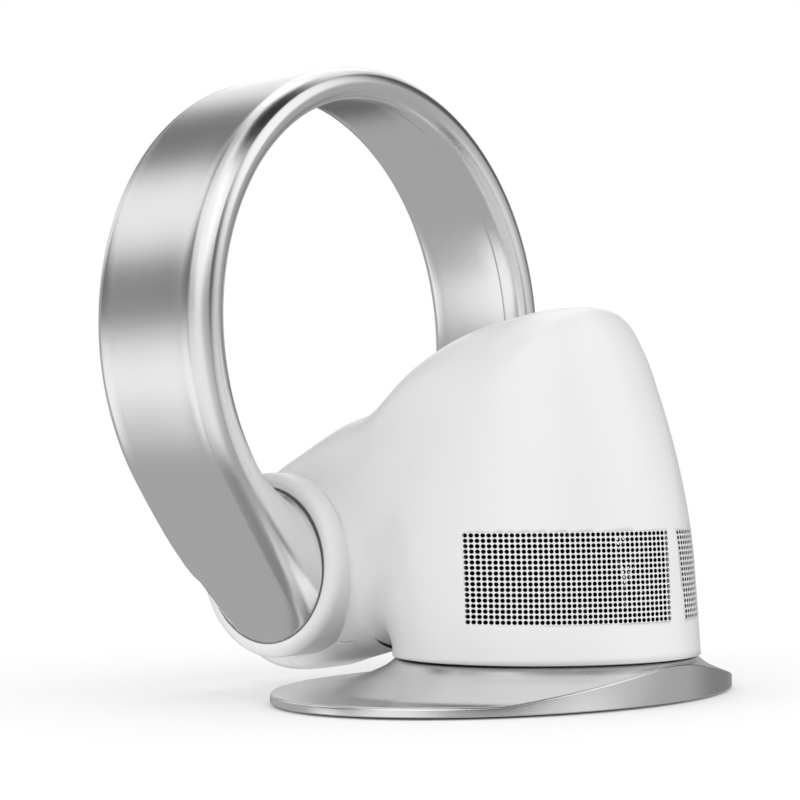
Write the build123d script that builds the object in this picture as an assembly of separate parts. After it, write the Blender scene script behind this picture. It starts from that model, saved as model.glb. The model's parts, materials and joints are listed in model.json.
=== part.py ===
"""Bladeless desk fan: an oval weighted base, a swivelling body with an arm, and a tilting air ring.

Frame: origin on the floor under the swivel axis, +Z up, front of the fan towards -Y, millimetres.
The ring straddles the end of the arm on two hollow trunnions, so air reaches it through both feet.
"""
from build123d import *
from math import acos, cos, pi, radians, sin, sqrt, tan
import os

os.makedirs("parts", exist_ok=True)

# ---------------------------------------------------------------- driving dimensions
# stance and base
HUB_TOP = 21.3            # height of the base hub, just under the running gap
RUN_GAP = 1.0             # gap seen between the hub and the body
BASE_HALF_WIDTH = 147.5   # oval base, along X
BASE_HALF_DEPTH = 108.0   # oval base, along Y
BASE_REAR_STEP = 1.0      # how far the base shows behind the body; the rest reaches under the ring
BASE_WALL = 2.2
# the flare from the hub down to the brim: radius from the swivel axis, height
FLARE_CURVE = ((79.5, 21.3), (84.5, 17.3), (92.0, 13.6), (104.0, 9.3), (118.0, 6.0))
PAD_THICK = 1.2
PAD_INSET = 6.0
PLATE_THICK = 1.5
PLATE_GAP = 0.3           # bottom plate to the inside of the cover
HUB_HOLE_RADIUS = 58.0    # opening in the hub deck
INLET_WIDTH = 8.0
INLET_HEIGHT = 9.0
INLET_DEPTH = 10.0
INLET_RECESS = 0.4        # the inlet's face lies this far behind the rim of the cover
CORD_BORE_RADIUS = 2.6
CORD_BORE_DEPTH = 6.0
BALLAST_INNER_RADIUS = 74.0
BALLAST_OUTER_RADIUS = 103.0
BALLAST_THICK = 3.2
BALLAST_INSET = 3.5
BALLAST_NOTCH_WIDTH = 16.0
BASE_BOSS_RADIUS = 4.0
BASE_BOSS_CIRCLE = 67.5
SCREW_RADIUS = 1.5
SCREW_LENGTH = 9.0
SCREW_HEAD_RADIUS = 3.0
SCREW_HEAD_THICK = 1.0
SCREW_ANGLES = (45, 135, 225, 315)

# swivel drive
FIT_GAP = 0.05            # radial running clearance of a shaft in its bore
FACE_GAP = 0.3            # between faces that pass each other
POST_RADIUS = 12.0
POST_BORE_RADIUS = 8.0
POST_FLANGE_RADIUS = 22.0
POST_FLANGE_THICK = 2.5
POST_NUT_RADIUS = 16.0
POST_NUT_THICK = 2.5
TURNTABLE_HUB_RADIUS = 18.0
TURNTABLE_SHOULDER = 2.0
TURNTABLE_HUB_TOP = 30.0
TURNTABLE_THICK = 2.5
TURNTABLE_RIBS = 6
TURNTABLE_RIB_REACH = 62.0
TURNTABLE_RIB_HEIGHT = 4.0
RIB_THICK = 2.0
GEAR_MODULE = 1.5
GEAR_TEETH = 52
PINION_TEETH = 12
PRESSURE_ANGLE = 25.0
GEAR_BOTTOM = 14.0
GEAR_THICK = 5.0
GEAR_BACKLASH = 0.35      # how much narrower a tooth is than its space, at the pitch circle
GEAR_ROOT_DEPTH = 1.15    # below the pitch circle, in modules
GEAR_TIP_HEIGHT = 0.9     # above the pitch circle, in modules
PINION_BOTTOM = 13.7
OSC_MOTOR_RADIUS = 20.5
OSC_MOTOR_HEIGHT = 8.6
OSC_SHAFT_RADIUS = 2.5
OSC_SHAFT_SINK = 6.0
BEARING_INNER_RADIUS = 60.0
BEARING_OUTER_RADIUS = 69.0

# body: sections that fan up from the seam circle about a hinge line, then run along the arm
SEAM_RADIUS = 81.5
BODY_WALL = 2.6
FAN_HINGE_Y = -90.0       # hinge line of the fanned sections, at the height of the body's bottom edge
# angle from the floor, reach of the far side, half width, squareness
FAN_SECTIONS = (
    (0.0, 171.5, 81.5, 2.0),
    (10.0, 172.6, 81.0, 2.0),
    (22.0, 179.8, 79.6, 2.05),
    (34.0, 191.8, 77.2, 2.1),
    (44.0, 206.2, 74.2, 2.15),
    (50.0, 217.0, 71.5, 2.2),
    (54.0, 222.0, 69.3, 2.25),
    (58.5, 214.0, 66.2, 2.3),
    (65.0, 198.0, 61.6, 2.4),
    (72.0, 182.0, 58.2, 2.55),
    (80.0, 162.0, 55.6, 2.7),
    (90.0, 137.0, 54.0, 2.85),
)
TOWER_LEAN = 50.0         # sections up to this angle shape the tower, the rest the arm
FAN_HEEL = (8.5, 1.0)     # reach of the near side, at the seam and at the upright section
# along the arm: y, underside and top above the body's bottom edge, half width, squareness
ARM_SECTIONS = (
    (-116.0, -4.5, 126.5, 53.5, 3.1),
    (-142.4, -11.0, 112.0, 54.0, 3.5),
)
NOSE_LENGTH = 56.0        # from the tilt axis to the tip of the arm
NOSE_STEPS = (15.0, 31.0, 46.0, 60.0, 72.0, 82.0)
NOSE_DROP = 0.4           # how steeply the arm's middle line runs down into the nose
NOSE_THIN_SHARE = 0.6     # the hollow keeps at least this share of a section near the tip
LOOP_POINTS = 12          # points round each section
SHELL_BOSS_RADIUS = 5.5
SHELL_BOSS_CIRCLE = 73.5
SHELL_BOSS_HEIGHT = 12.0

# inlet grilles
GRILLE_PULL_ANGLE = 47.5  # direction the holes run, from +X towards the rear
# reach across the pull, for the right and the left grille: the pair sits a little to the left
GRILLE_REACH = {1: (-54.0, 52.0), -1: (-60.5, 45.5)}
GRILLE_BOTTOM = 42.2
GRILLE_HEIGHT = 45.8
GRILLE_COLUMNS = 13
GRILLE_ROWS = 6
GRILLE_HOLE_SHARE = 0.72  # hole size as a share of the pitch
GRILLE_THICK = 2.0
GRILLE_FIT = 0.2
GRILLE_FRAME = 1.2        # plain edge round the holes

# tilt joint
TILT_Y = -142.4
TILT_Z = 69.3
FOOT_FACE_X = 65.3        # plane of the round seam between foot and collar
FOOT_RADIUS = 42.4
FOOT_ENTRY = 3.3          # how far the foot's rim reaches into the collar
RIM_RADIUS = 41.2         # the rim is a little smaller than the foot, and sunk into it
RIM_SINK = 0.2
SEAM_GAP = 1.0            # dark gap round the foot's rim
COLLAR_RADIUS = 51.0
COLLAR_FACE_X = 65.0
COLLAR_ROUND = 6.5
COLLAR_WEB_X = 51.0
COLLAR_SKIRT_X = 38.0
COLLAR_SKIRT_WALL = 2.0
TRUNNION_RADIUS = 38.0
TRUNNION_WALL = 3.0
TRUNNION_NUT_RADIUS = 42.0
TRUNNION_NUT_THICK = 3.0
WASHER_THICK = 1.4
COVER_HALF_WIDTH = 38.0   # service cover under the arm
COVER_FRONT_Y = -150.0
COVER_REAR_Y = -104.0
COVER_GAP = 0.2

# air ring: outline of half its section as (y, radius from the ring's own axis)
RING_CENTRE_Z = 201.0
RING_FRONT_Y = -185.3
RING_WALL = 2.0
RING_FRONT_OUTER = 149.1
RING_FRONT_INNER = 142.8
RING_NOSE = ((-116.5, 150.0), (-110.3, 148.0), (-105.3, 143.4), (-105.0, 137.6), (-109.2, 132.6),
             (-114.5, 131.0))
RING_LIP = (-121.5, 131.6)
RING_LIP_THICK = 1.2
RING_NOSE_HUB = (-116.0, 140.8)   # the wall of the rounded nose is measured towards this point
DIFFUSER_CURVE = ((-110.0, 137.8), (-115.0, 135.4), (-121.5, 134.6), (-142.0, 136.2), (-165.0, 139.3),
                  (-185.3, 142.8))
SPACER_COUNT = 9
SPACER_THICK = 2.0
SPACER_LENGTH = 5.0
LIMB_ANGLE = -35.0        # below this the limbs leave the circle and turn into the feet

# limbs: outer and inner edge as (x, z) control points of a quadratic curve, down to the foot's seam
LIMB_OUTER = ((122.9, 115.0), (78.0, 51.5), (65.3, 26.9))
LIMB_INNER = ((107.3, 125.9), (97.5, 112.0), (65.3, 111.7))
LIMB_STEPS = (0.0, 0.25, 0.5, 0.75, 1.0)
# the limb's section where it leaves the circle: y, place between inner edge (-1) and outer edge (+1)
LIMB_SECTION = ((-185.3, 0.57), (-184.6, 0.88), (-165.0, 0.93), (-142.0, 0.97), (-125.0, 0.99),
                (-111.5, 0.80), (-104.5, 0.0), (-108.5, -0.80), (-121.0, -0.97), (-142.0, -0.55),
                (-165.0, -0.15), (-184.6, 0.26))
LIMB_HOLLOW = ((-181.5, 0.58), (-180.0, 0.66), (-165.0, 0.71), (-142.0, 0.75), (-125.0, 0.76),
               (-113.5, 0.58), (-107.2, 0.0), (-111.0, -0.56), (-121.5, -0.73), (-142.0, -0.32),
               (-165.0, 0.08), (-180.0, 0.50))
FOOT_HOLLOW_RADIUS = 36.5

# air mover
SHROUD_RADIUS = 48.0
SHROUD_WALL = 2.2
SHROUD_TOP = 150.0
BELL_RADIUS = 58.0
BELL_DROP = 6.0
BELL_LIP = 4.0            # flat edge of the bell mouth
# the bell's throat: how far outside the shroud's bore, how far above the mouth
BELL_CURVE = ((3.0, 2.0), (0.8, 4.0))
BAFFLE_Z = 91.0
BAFFLE_THICK = 2.5
BAFFLE_WALL_Y = -80.0
BAFFLE_GAP = 0.3          # round the baffle, where the real one has a soft seal
IMPELLER_TIP_GAP = 1.0
IMPELLER_BLADES = 9
IMPELLER_HEIGHT = 22.0
IMPELLER_SWEEP = 42.0     # degrees from a blade's leading edge to its trailing edge
BLADE_THICK = 1.8
BLADE_ROOT_RADIUS = 13.0
BLADE_MARGIN = 0.5        # from the wheel's faces to the blades
BLADE_MIDDLE_TURN = 0.6   # share of the sweep reached at half height
HUB_SMALL_RADIUS = 17.0
HUB_LARGE_RADIUS = 31.0
BUCKET_RADIUS = 33.0
BUCKET_WALL = 2.0
BUCKET_BOTTOM = 115.0
GUIDE_VANES = 7
VANE_SWEEP = -26.0
VANE_BOTTOM = 118.0
VANE_TOP = 146.0
CAP_CURVE = ((33.0, 150.0), (31.0, 155.5), (24.0, 160.0), (12.0, 162.0), (0.0, 162.3))
MOTOR_RADIUS = 27.0
MOTOR_HEIGHT = 26.0
MOTOR_BAND_HEIGHT = 5.0
SHAFT_RADIUS = 3.0
SHAFT_BOTTOM = 86.5
SHAFT_TOP = 138.0
NUT_RADIUS = 6.0
NUT_THICK = 3.0

# control board
BOARD_LENGTH = 50.0
BOARD_WIDTH = 32.0
BOARD_THICK = 1.6
BOARD_X = -44.0
BOARD_Y = 10.0
STANDOFF_RADIUS = 2.5
STANDOFF_HEIGHT = 8.0
STANDOFF_INSET = 4.0      # from the board's edges
# parts on the board: radius, height, place from its centre
BOARD_CANS = ((5.0, 12.0, 8.0, -14.0), (4.0, 9.0, 9.0, 0.0))
BOARD_CHIP = (-13.0, -3.0, -16.0, 2.0, 8.0)

# ---------------------------------------------------------------- worked-out sizes
BODY_BOTTOM = HUB_TOP + RUN_GAP
BASE_REAR_Y = SEAM_RADIUS + BASE_REAR_STEP
BASE_OFFSET_Y = BASE_REAR_Y - BASE_HALF_DEPTH
BEYOND = 2 * BASE_HALF_WIDTH      # further out than any piece, for blocks that cut
PLATE_TOP = PAD_THICK + PLATE_THICK
DECK_UNDERSIDE = HUB_TOP - BASE_WALL
TURNTABLE_TOP = BODY_BOTTOM + TURNTABLE_THICK
TURNTABLE_RADIUS = SEAM_RADIUS - BODY_WALL - FACE_GAP
GEAR_PITCH = GEAR_MODULE * GEAR_TEETH / 2
PINION_PITCH = GEAR_MODULE * PINION_TEETH / 2
GEAR_CENTRES = GEAR_PITCH + PINION_PITCH
OSC_MOTOR_TOP = PLATE_TOP + OSC_MOTOR_HEIGHT
TILT_ABOVE_SEAM = TILT_Z - BODY_BOTTOM
BUCKET_TOP = CAP_CURVE[0][1]
COLLAR_RECESS_X = FOOT_FACE_X - FOOT_ENTRY - SEAM_GAP / 2
COLLAR_BORE_RADIUS = TRUNNION_RADIUS + FIT_GAP
WASHER_X = COLLAR_WEB_X - WASHER_THICK
NUT_X = WASHER_X - FACE_GAP - TRUNNION_NUT_THICK
IMPELLER_BOTTOM = BAFFLE_Z
IMPELLER_TOP = IMPELLER_BOTTOM + IMPELLER_HEIGHT
IMPELLER_RADIUS = SHROUD_RADIUS - IMPELLER_TIP_GAP
MOTOR_BOTTOM = BUCKET_BOTTOM + BUCKET_WALL


# ---------------------------------------------------------------- helpers
def oval(inset, z, height):
    """An upright oval block standing at z, as wide as the base less an inset."""
    face = Pos(0, BASE_OFFSET_Y, z) * Ellipse(BASE_HALF_WIDTH - inset, BASE_HALF_DEPTH - inset)
    return extrude(face, height)


def disc(radius, z, height, x=0.0, y=0.0):
    """An upright round block standing at z."""
    return Pos(x, y, z) * extrude(Circle(radius), height)


def tube(outer, inner, z, height, x=0.0, y=0.0):
    """An upright round tube standing at z."""
    return disc(outer, z, height, x, y) - disc(inner, z, height, x, y)


def block(x0, x1, y0, y1, z0, z1):
    """A block between two corners."""
    return Pos((x0 + x1) / 2, (y0 + y1) / 2, (z0 + z1) / 2) * Box(x1 - x0, y1 - y0, z1 - z0)


def polar(radius, angle):
    return radius * cos(radians(angle)), radius * sin(radians(angle))


def turned(points):
    """A solid turned about the swivel axis from a closed outline of (radius, z) corners."""
    corners = [(r, 0, z) for r, z in points]
    return revolve(make_face(Polyline(*corners, close=True)), Axis.Z)


def side_turned(points, side):
    """A solid turned about the tilt axis from a closed outline of (x, radius) corners."""
    corners = [(side * x, TILT_Y, TILT_Z + r) for x, r in points]
    axis = Axis((0, TILT_Y, TILT_Z), (1, 0, 0))
    return revolve(make_face(Polyline(*corners, close=True)), axis)


def side_tube(outer, inner, x0, x1, side):
    """A round tube about the tilt axis."""
    return side_turned([(x0, inner), (x0, outer), (x1, outer), (x1, inner)], side)


# ---------------------------------------------------------------- base
def flare_form(inset):
    """The cover's form, turned about the swivel axis and cut to the oval."""
    curve = [(r - inset / 2, 0, z - inset) for r, z in FLARE_CURVE]
    hub_edge, brim_edge = curve[0], curve[-1]
    rest = Polyline(brim_edge, (BEYOND, 0, brim_edge[2]), (BEYOND, 0, PAD_THICK), (0, 0, PAD_THICK),
                    (0, 0, hub_edge[2]), hub_edge)
    form = revolve(make_face(Spline(*curve) + rest), Axis.Z)
    return form & oval(inset, PAD_THICK, HUB_TOP)


def base_bosses(radius, z, height):
    places = [polar(BASE_BOSS_CIRCLE, angle) for angle in SCREW_ANGLES]
    return [disc(radius, z, height, x, y) for x, y in places]


def inlet_block(margin, rear):
    """The cord inlet's block, from its inner end to a plane at the rear."""
    half = INLET_WIDTH / 2 + margin
    top = PLATE_TOP + INLET_HEIGHT + margin
    return block(-half, half, BASE_REAR_Y - INLET_DEPTH, rear, PLATE_TOP, top)


def base_cover():
    cover = flare_form(0) - flare_form(BASE_WALL)
    cover -= disc(HUB_HOLE_RADIUS, PLATE_TOP, HUB_TOP)
    for post in base_bosses(BASE_BOSS_RADIUS, PLATE_TOP, DECK_UNDERSIDE - PLATE_TOP):
        cover += post
    for hole in base_bosses(SCREW_RADIUS, PLATE_TOP, SCREW_LENGTH):
        cover -= hole
    return cover - inlet_block(FIT_GAP, BASE_REAR_Y + BASE_WALL)


def bottom_plate():
    plate = oval(BASE_WALL + PLATE_GAP, PAD_THICK, PLATE_THICK)
    for hole in base_bosses(SCREW_RADIUS, PAD_THICK, PLATE_THICK):
        plate -= hole
    return plate


def base_pad():
    pad = oval(PAD_INSET, 0, PAD_THICK)
    for hole in base_bosses(SCREW_HEAD_RADIUS + FACE_GAP, 0, PAD_THICK):
        pad -= hole
    return pad


def base_screws():
    heads = base_bosses(SCREW_HEAD_RADIUS, PAD_THICK - SCREW_HEAD_THICK, SCREW_HEAD_THICK)
    shanks = base_bosses(SCREW_RADIUS, PAD_THICK, SCREW_LENGTH)
    return Compound([head + shank for head, shank in zip(heads, shanks)])


def ballast_ring():
    ring = tube(BALLAST_OUTER_RADIUS, BALLAST_INNER_RADIUS, PLATE_TOP, BALLAST_THICK)
    ring &= oval(BASE_WALL + BALLAST_INSET, PLATE_TOP, BALLAST_THICK)
    ring &= flare_form(BASE_WALL + FACE_GAP)
    half = BALLAST_NOTCH_WIDTH / 2
    return ring - block(-half, half, 0, BASE_HALF_DEPTH, PLATE_TOP, PLATE_TOP + BALLAST_THICK)


def power_inlet():
    middle = Pos(0, BASE_REAR_Y, PLATE_TOP + INLET_HEIGHT / 2)
    bore = middle * Rot(90, 0, 0) * Cylinder(CORD_BORE_RADIUS, 2 * CORD_BORE_DEPTH)
    return inlet_block(0, BASE_REAR_Y - INLET_RECESS) - bore


def swivel_post():
    nut_top = TURNTABLE_HUB_TOP + FACE_GAP + POST_NUT_THICK
    post = disc(POST_RADIUS, PLATE_TOP, nut_top - PLATE_TOP)
    post += disc(POST_FLANGE_RADIUS, PLATE_TOP, POST_FLANGE_THICK)
    return post - disc(POST_BORE_RADIUS, PLATE_TOP, nut_top)


def post_nut():
    nut = extrude(Pos(0, 0, TURNTABLE_HUB_TOP + FACE_GAP) * RegularPolygon(POST_NUT_RADIUS, 8),
                  POST_NUT_THICK)
    return nut - disc(POST_RADIUS, TURNTABLE_HUB_TOP, 2 * POST_NUT_THICK)


def swivel_bearing():
    return tube(BEARING_OUTER_RADIUS, BEARING_INNER_RADIUS, HUB_TOP, RUN_GAP - FACE_GAP)


def oscillation_motor():
    can = disc(OSC_MOTOR_RADIUS, PLATE_TOP, OSC_MOTOR_HEIGHT, 0, GEAR_CENTRES)
    return can - disc(OSC_SHAFT_RADIUS + FIT_GAP, OSC_MOTOR_TOP - OSC_SHAFT_SINK - FACE_GAP, OSC_MOTOR_TOP,
                      0, GEAR_CENTRES)


# ---------------------------------------------------------------- swivel drive
def involute_swing(base, radius):
    """How far an involute has turned away from its base circle when it reaches a radius."""
    pressure = acos(base / radius)
    return tan(pressure) - pressure


def gear(teeth, turn, z, thick, x=0.0, y=0.0):
    """A spur gear with involute flanks, thinned at the pitch circle for backlash."""
    pitch = GEAR_MODULE * teeth / 2
    base = pitch * cos(radians(PRESSURE_ANGLE))
    root = pitch - GEAR_ROOT_DEPTH * GEAR_MODULE
    tip = pitch + GEAR_TIP_HEIGHT * GEAR_MODULE
    half_tooth = pi / teeth / 2 - GEAR_BACKLASH / 4 / pitch
    foot = max(root, base)
    flank = [foot, (foot + tip) / 2, tip]
    spread = [half_tooth + involute_swing(base, pitch) - involute_swing(base, r) for r in flank]
    points = []
    for tooth in range(teeth):
        middle = 2 * pi * tooth / teeth + turn
        rising = [(r, middle - s) for r, s in zip(flank, spread)]
        falling = [(r, middle + s) for r, s in zip(flank, spread)]
        outline = [(root, middle - spread[0])] + rising + falling[::-1] + [(root, middle + spread[0])]
        points += outline if foot > root else outline[1:-1]
    corners = [(x + r * cos(a), y + r * sin(a)) for r, a in points]
    return Pos(0, 0, z) * extrude(make_face(Polyline(*corners, close=True)), thick)


def swivel_gear():
    # a tooth space of the gear faces the pinion, whose tooth points back at the swivel axis
    turn = pi / 2 + pi / GEAR_TEETH
    return gear(GEAR_TEETH, turn, GEAR_BOTTOM, GEAR_THICK) - disc(TURNTABLE_HUB_RADIUS, 0, HUB_TOP)


def drive_pinion():
    wheel = gear(PINION_TEETH, -pi / 2, PINION_BOTTOM, GEAR_THICK, 0, GEAR_CENTRES)
    return wheel - disc(OSC_SHAFT_RADIUS, 0, HUB_TOP, 0, GEAR_CENTRES)


def pinion_shaft():
    bottom = OSC_MOTOR_TOP - OSC_SHAFT_SINK
    return disc(OSC_SHAFT_RADIUS, bottom, PINION_BOTTOM + GEAR_THICK - bottom, 0, GEAR_CENTRES)


def turntable_places():
    return [polar(SHELL_BOSS_CIRCLE, angle) for angle in SCREW_ANGLES]


def turntable():
    table = disc(TURNTABLE_RADIUS, BODY_BOTTOM, TURNTABLE_THICK)
    table += disc(TURNTABLE_HUB_RADIUS, GEAR_BOTTOM, TURNTABLE_HUB_TOP - GEAR_BOTTOM)
    shoulder_z = GEAR_BOTTOM + GEAR_THICK
    table += disc(TURNTABLE_HUB_RADIUS + TURNTABLE_SHOULDER, shoulder_z, BODY_BOTTOM - shoulder_z)
    rib = block(0, TURNTABLE_RIB_REACH, -RIB_THICK / 2, RIB_THICK / 2, TURNTABLE_TOP,
                TURNTABLE_TOP + TURNTABLE_RIB_HEIGHT)
    for k in range(TURNTABLE_RIBS):
        table += Rot(0, 0, 360 * k / TURNTABLE_RIBS) * rib
    for x, y in board_corners():
        table += disc(STANDOFF_RADIUS, TURNTABLE_TOP, STANDOFF_HEIGHT, x, y)
    for x, y in turntable_places():
        table -= disc(SCREW_HEAD_RADIUS + FACE_GAP / 2, BODY_BOTTOM, SCREW_HEAD_THICK, x, y)
        table -= disc(SCREW_RADIUS, BODY_BOTTOM, TURNTABLE_THICK, x, y)
    return table - disc(POST_RADIUS + FIT_GAP, 0, 2 * TURNTABLE_HUB_TOP)


def turntable_screws():
    screws = []
    for x, y in turntable_places():
        head = disc(SCREW_HEAD_RADIUS, BODY_BOTTOM, SCREW_HEAD_THICK, x, y)
        screws.append(head + disc(SCREW_RADIUS, BODY_BOTTOM + SCREW_HEAD_THICK, SCREW_LENGTH, x, y))
    return Compound(screws)


# ---------------------------------------------------------------- body
def rounded_loop(half_a, half_b, squareness):
    """Points of a superellipse, as (along a, along b) pairs."""
    loop = []
    for k in range(LOOP_POINTS):
        angle = 2 * pi * k / LOOP_POINTS
        a = abs(cos(angle)) ** (2 / squareness) * (1 if cos(angle) >= 0 else -1)
        b = abs(sin(angle)) ** (2 / squareness) * (1 if sin(angle) >= 0 else -1)
        loop.append((half_a * a, half_b * b))
    return loop


def closed_wire(points):
    return Wire([Edge.make_spline([Vector(*p) for p in points], periodic=True)])


def fan_wire(angle, far, half_width, squareness, inset):
    """A section of the body in a plane through the hinge line, leaning at an angle."""
    rise = radians(angle)
    near = FAN_HEEL[0] + (FAN_HEEL[1] - FAN_HEEL[0]) * sin(rise) ** 2 + inset
    far = far - inset
    points = []
    for along, across in rounded_loop((far - near) / 2, half_width - inset, squareness):
        reach = (far + near) / 2 + along
        points.append((across, FAN_HINGE_Y + reach * cos(rise), BODY_BOTTOM + reach * sin(rise)))
    return closed_wire(points)


def arm_wire(y, under, top, half_width, squareness, inset):
    """An upright section of the arm at y."""
    points = []
    for along, across in rounded_loop((top - under) / 2 - inset, half_width - inset, squareness):
        points.append((across, y, BODY_BOTTOM + (top + under) / 2 + along))
    return closed_wire(points)


def nose_wire(step, inset):
    """An upright section of the rounded end of the arm, which closes like a drum about the tilt axis."""
    y, under, top, half_width, squareness = ARM_SECTIONS[-1]
    turn = radians(step)
    shrink = cos(turn)
    length = NOSE_LENGTH - inset
    middle = (top + under) / 2
    middle += (TILT_ABOVE_SEAM - middle) * (1 - shrink) - NOSE_DROP * length * sin(turn) * shrink ** 2
    half_height = (top - under) / 2 * shrink
    half = half_width * (1 - sin(turn) ** 6) ** (1 / 3)
    thin = NOSE_THIN_SHARE
    half_height = max(half_height - inset, half_height * thin)
    points = []
    for along, across in rounded_loop(half_height, max(half - inset, half * thin), squareness):
        points.append((across, y - length * sin(turn), BODY_BOTTOM + middle + along))
    return closed_wire(points)


def body_form(inset):
    """The body's outer form, or its hollow when inset by the wall: a tower part and an arm part."""
    fans = [fan_wire(*section, inset) for section in FAN_SECTIONS]
    arms = [arm_wire(*section, inset) for section in ARM_SECTIONS]
    noses = [nose_wire(step, inset) for step in NOSE_STEPS]
    tower_count = len([section for section in FAN_SECTIONS if section[0] <= TOWER_LEAN])
    tower = Solid.make_loft(fans[:tower_count])
    arm = Solid.make_loft(fans[tower_count - 1:] + arms + noses)
    return tower + arm


def along_pull(side, low, high, bottom, top):
    """A block that runs outwards along the pull, between two reaches across it; the left is mirrored."""
    window = Rot(0, 0, GRILLE_PULL_ANGLE) * block(SEAM_RADIUS / 2, BEYOND, low, high, bottom, top)
    return window if side > 0 else mirror(window, Plane.YZ)


def grille_window(side, gap):
    """The block that a grille fills, less a gap on three sides; it stands on the sill."""
    low, high = GRILLE_REACH[side]
    return along_pull(side, low + gap, high - gap, GRILLE_BOTTOM, GRILLE_BOTTOM + GRILLE_HEIGHT - gap)


def grille(side, outer, inner):
    """A moulded panel in the body's wall with a grid of holes that all run in the direction of pull."""
    panel = (outer & grille_window(side, GRILLE_FIT)) - inner
    low, high = GRILLE_REACH[side]
    across = (high - low - 2 * GRILLE_FRAME) / GRILLE_COLUMNS
    up = (GRILLE_HEIGHT - 2 * GRILLE_FRAME) / GRILLE_ROWS
    half_across, half_up = across * GRILLE_HOLE_SHARE / 2, up * GRILLE_HOLE_SHARE / 2
    holes = []
    for column in range(GRILLE_COLUMNS):
        middle = low + GRILLE_FRAME + (column + 0.5) * across
        for row in range(GRILLE_ROWS):
            z = GRILLE_BOTTOM + GRILLE_FRAME + (row + 0.5) * up
            holes.append(along_pull(side, middle - half_across, middle + half_across, z - half_up, z + half_up))
    return panel - holes


def body_shell(outer, hollow):
    shell = outer - hollow
    for x, y in turntable_places():
        shell += disc(SHELL_BOSS_RADIUS, TURNTABLE_TOP, SHELL_BOSS_HEIGHT, x, y)
        shell -= disc(SCREW_RADIUS, TURNTABLE_TOP, SCREW_LENGTH + SCREW_HEAD_THICK - TURNTABLE_THICK, x, y)
    for side in (1, -1):
        shell -= grille_window(side, 0)
        shell -= side_turned([(COLLAR_SKIRT_X, 0), (COLLAR_SKIRT_X, COLLAR_RADIUS),
                              (COLLAR_FACE_X, COLLAR_RADIUS), (COLLAR_FACE_X, 0)], side)
    return shell - cover_block(0)


def cover_block(gap):
    half = COVER_HALF_WIDTH - gap
    return block(-half, half, COVER_FRONT_Y + gap, COVER_REAR_Y, 0, BODY_BOTTOM + 2 * BODY_WALL)


def arm_bottom_cover(outer, hollow):
    return (outer & cover_block(COVER_GAP)) - hollow


def air_baffle(hollow):
    """Parts the inlet chamber from the pressure side: a shelf round the shroud and a wall under it."""
    far, near = BEYOND, BAFFLE_WALL_Y
    shelf = block(-far, far, near, far, BAFFLE_Z, BAFFLE_Z + BAFFLE_THICK)
    wall = block(-far, far, near, near + BAFFLE_THICK, TURNTABLE_TOP + FACE_GAP, BAFFLE_Z)
    shelf -= disc(SHROUD_RADIUS + SHROUD_WALL, BAFFLE_Z, BAFFLE_THICK)
    return hollow & (shelf + wall)


# ---------------------------------------------------------------- tilt joint
def collar(side):
    outline = [(COLLAR_SKIRT_X, COLLAR_RADIUS - COLLAR_SKIRT_WALL), (COLLAR_SKIRT_X, COLLAR_RADIUS),
               (COLLAR_FACE_X, COLLAR_RADIUS), (COLLAR_FACE_X, FOOT_RADIUS + SEAM_GAP),
               (COLLAR_RECESS_X, FOOT_RADIUS + SEAM_GAP), (COLLAR_RECESS_X, COLLAR_BORE_RADIUS),
               (COLLAR_WEB_X, COLLAR_BORE_RADIUS), (COLLAR_WEB_X, COLLAR_RADIUS - COLLAR_SKIRT_WALL)]
    body = side_turned(outline, side)
    face = body.edges().filter_by(GeomType.CIRCLE)
    rim = [e for e in face if abs(e.radius - COLLAR_RADIUS) < FIT_GAP
           and abs(abs(e.arc_center.X) - COLLAR_FACE_X) < FIT_GAP]
    return fillet(rim, COLLAR_ROUND)


def friction_washer(side):
    return side_tube(TRUNNION_NUT_RADIUS, TRUNNION_RADIUS + FACE_GAP, WASHER_X, COLLAR_WEB_X, side)


def trunnion(side):
    return side_tube(TRUNNION_RADIUS, TRUNNION_RADIUS - TRUNNION_WALL, NUT_X, FOOT_FACE_X, side)


def trunnion_nut(side):
    return side_tube(TRUNNION_NUT_RADIUS, TRUNNION_RADIUS, NUT_X, NUT_X + TRUNNION_NUT_THICK, side)


# ---------------------------------------------------------------- air ring
def ring_point(y, radius, angle=LIMB_ANGLE):
    x, z = polar(radius, angle)
    return x, y, RING_CENTRE_Z + z


def swept_round(face, angle):
    """Turns a section, drawn at an angle below the horizontal, over the top to the other limb."""
    return revolve(face, Axis((0, 0, RING_CENTRE_Z), (0, -1, 0)), 180 - 2 * angle)


def ring_shell():
    """The ring's outer wall: band, rounded nose and lip, open towards the diffuser."""
    front, wall = RING_FRONT_Y, RING_WALL
    hub_y, hub_r = RING_NOSE_HUB
    inner_nose = []
    for y, r in RING_NOSE:
        reach = sqrt((y - hub_y) ** 2 + (r - hub_r) ** 2)
        inner_nose.append((hub_y + (y - hub_y) * (1 - wall / reach), hub_r + (r - hub_r) * (1 - wall / reach)))
    outside = Spline(*[ring_point(y, r) for y, r in RING_NOSE])
    inside = Spline(*[ring_point(y, r) for y, r in inner_nose])
    lip_y, lip_r = RING_LIP
    lip = Polyline(ring_point(*RING_NOSE[-1]), ring_point(lip_y, lip_r), ring_point(lip_y, lip_r + RING_LIP_THICK),
                   ring_point(*inner_nose[-1]))
    band = Polyline(ring_point(*inner_nose[0]), ring_point(front + wall, RING_FRONT_OUTER - wall),
                    ring_point(front + wall, RING_FRONT_INNER + wall),
                    ring_point(front, RING_FRONT_INNER + wall), ring_point(front, RING_FRONT_OUTER),
                    ring_point(*RING_NOSE[0]))
    return swept_round(make_face(outside + inside + lip + band), LIMB_ANGLE)


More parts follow.
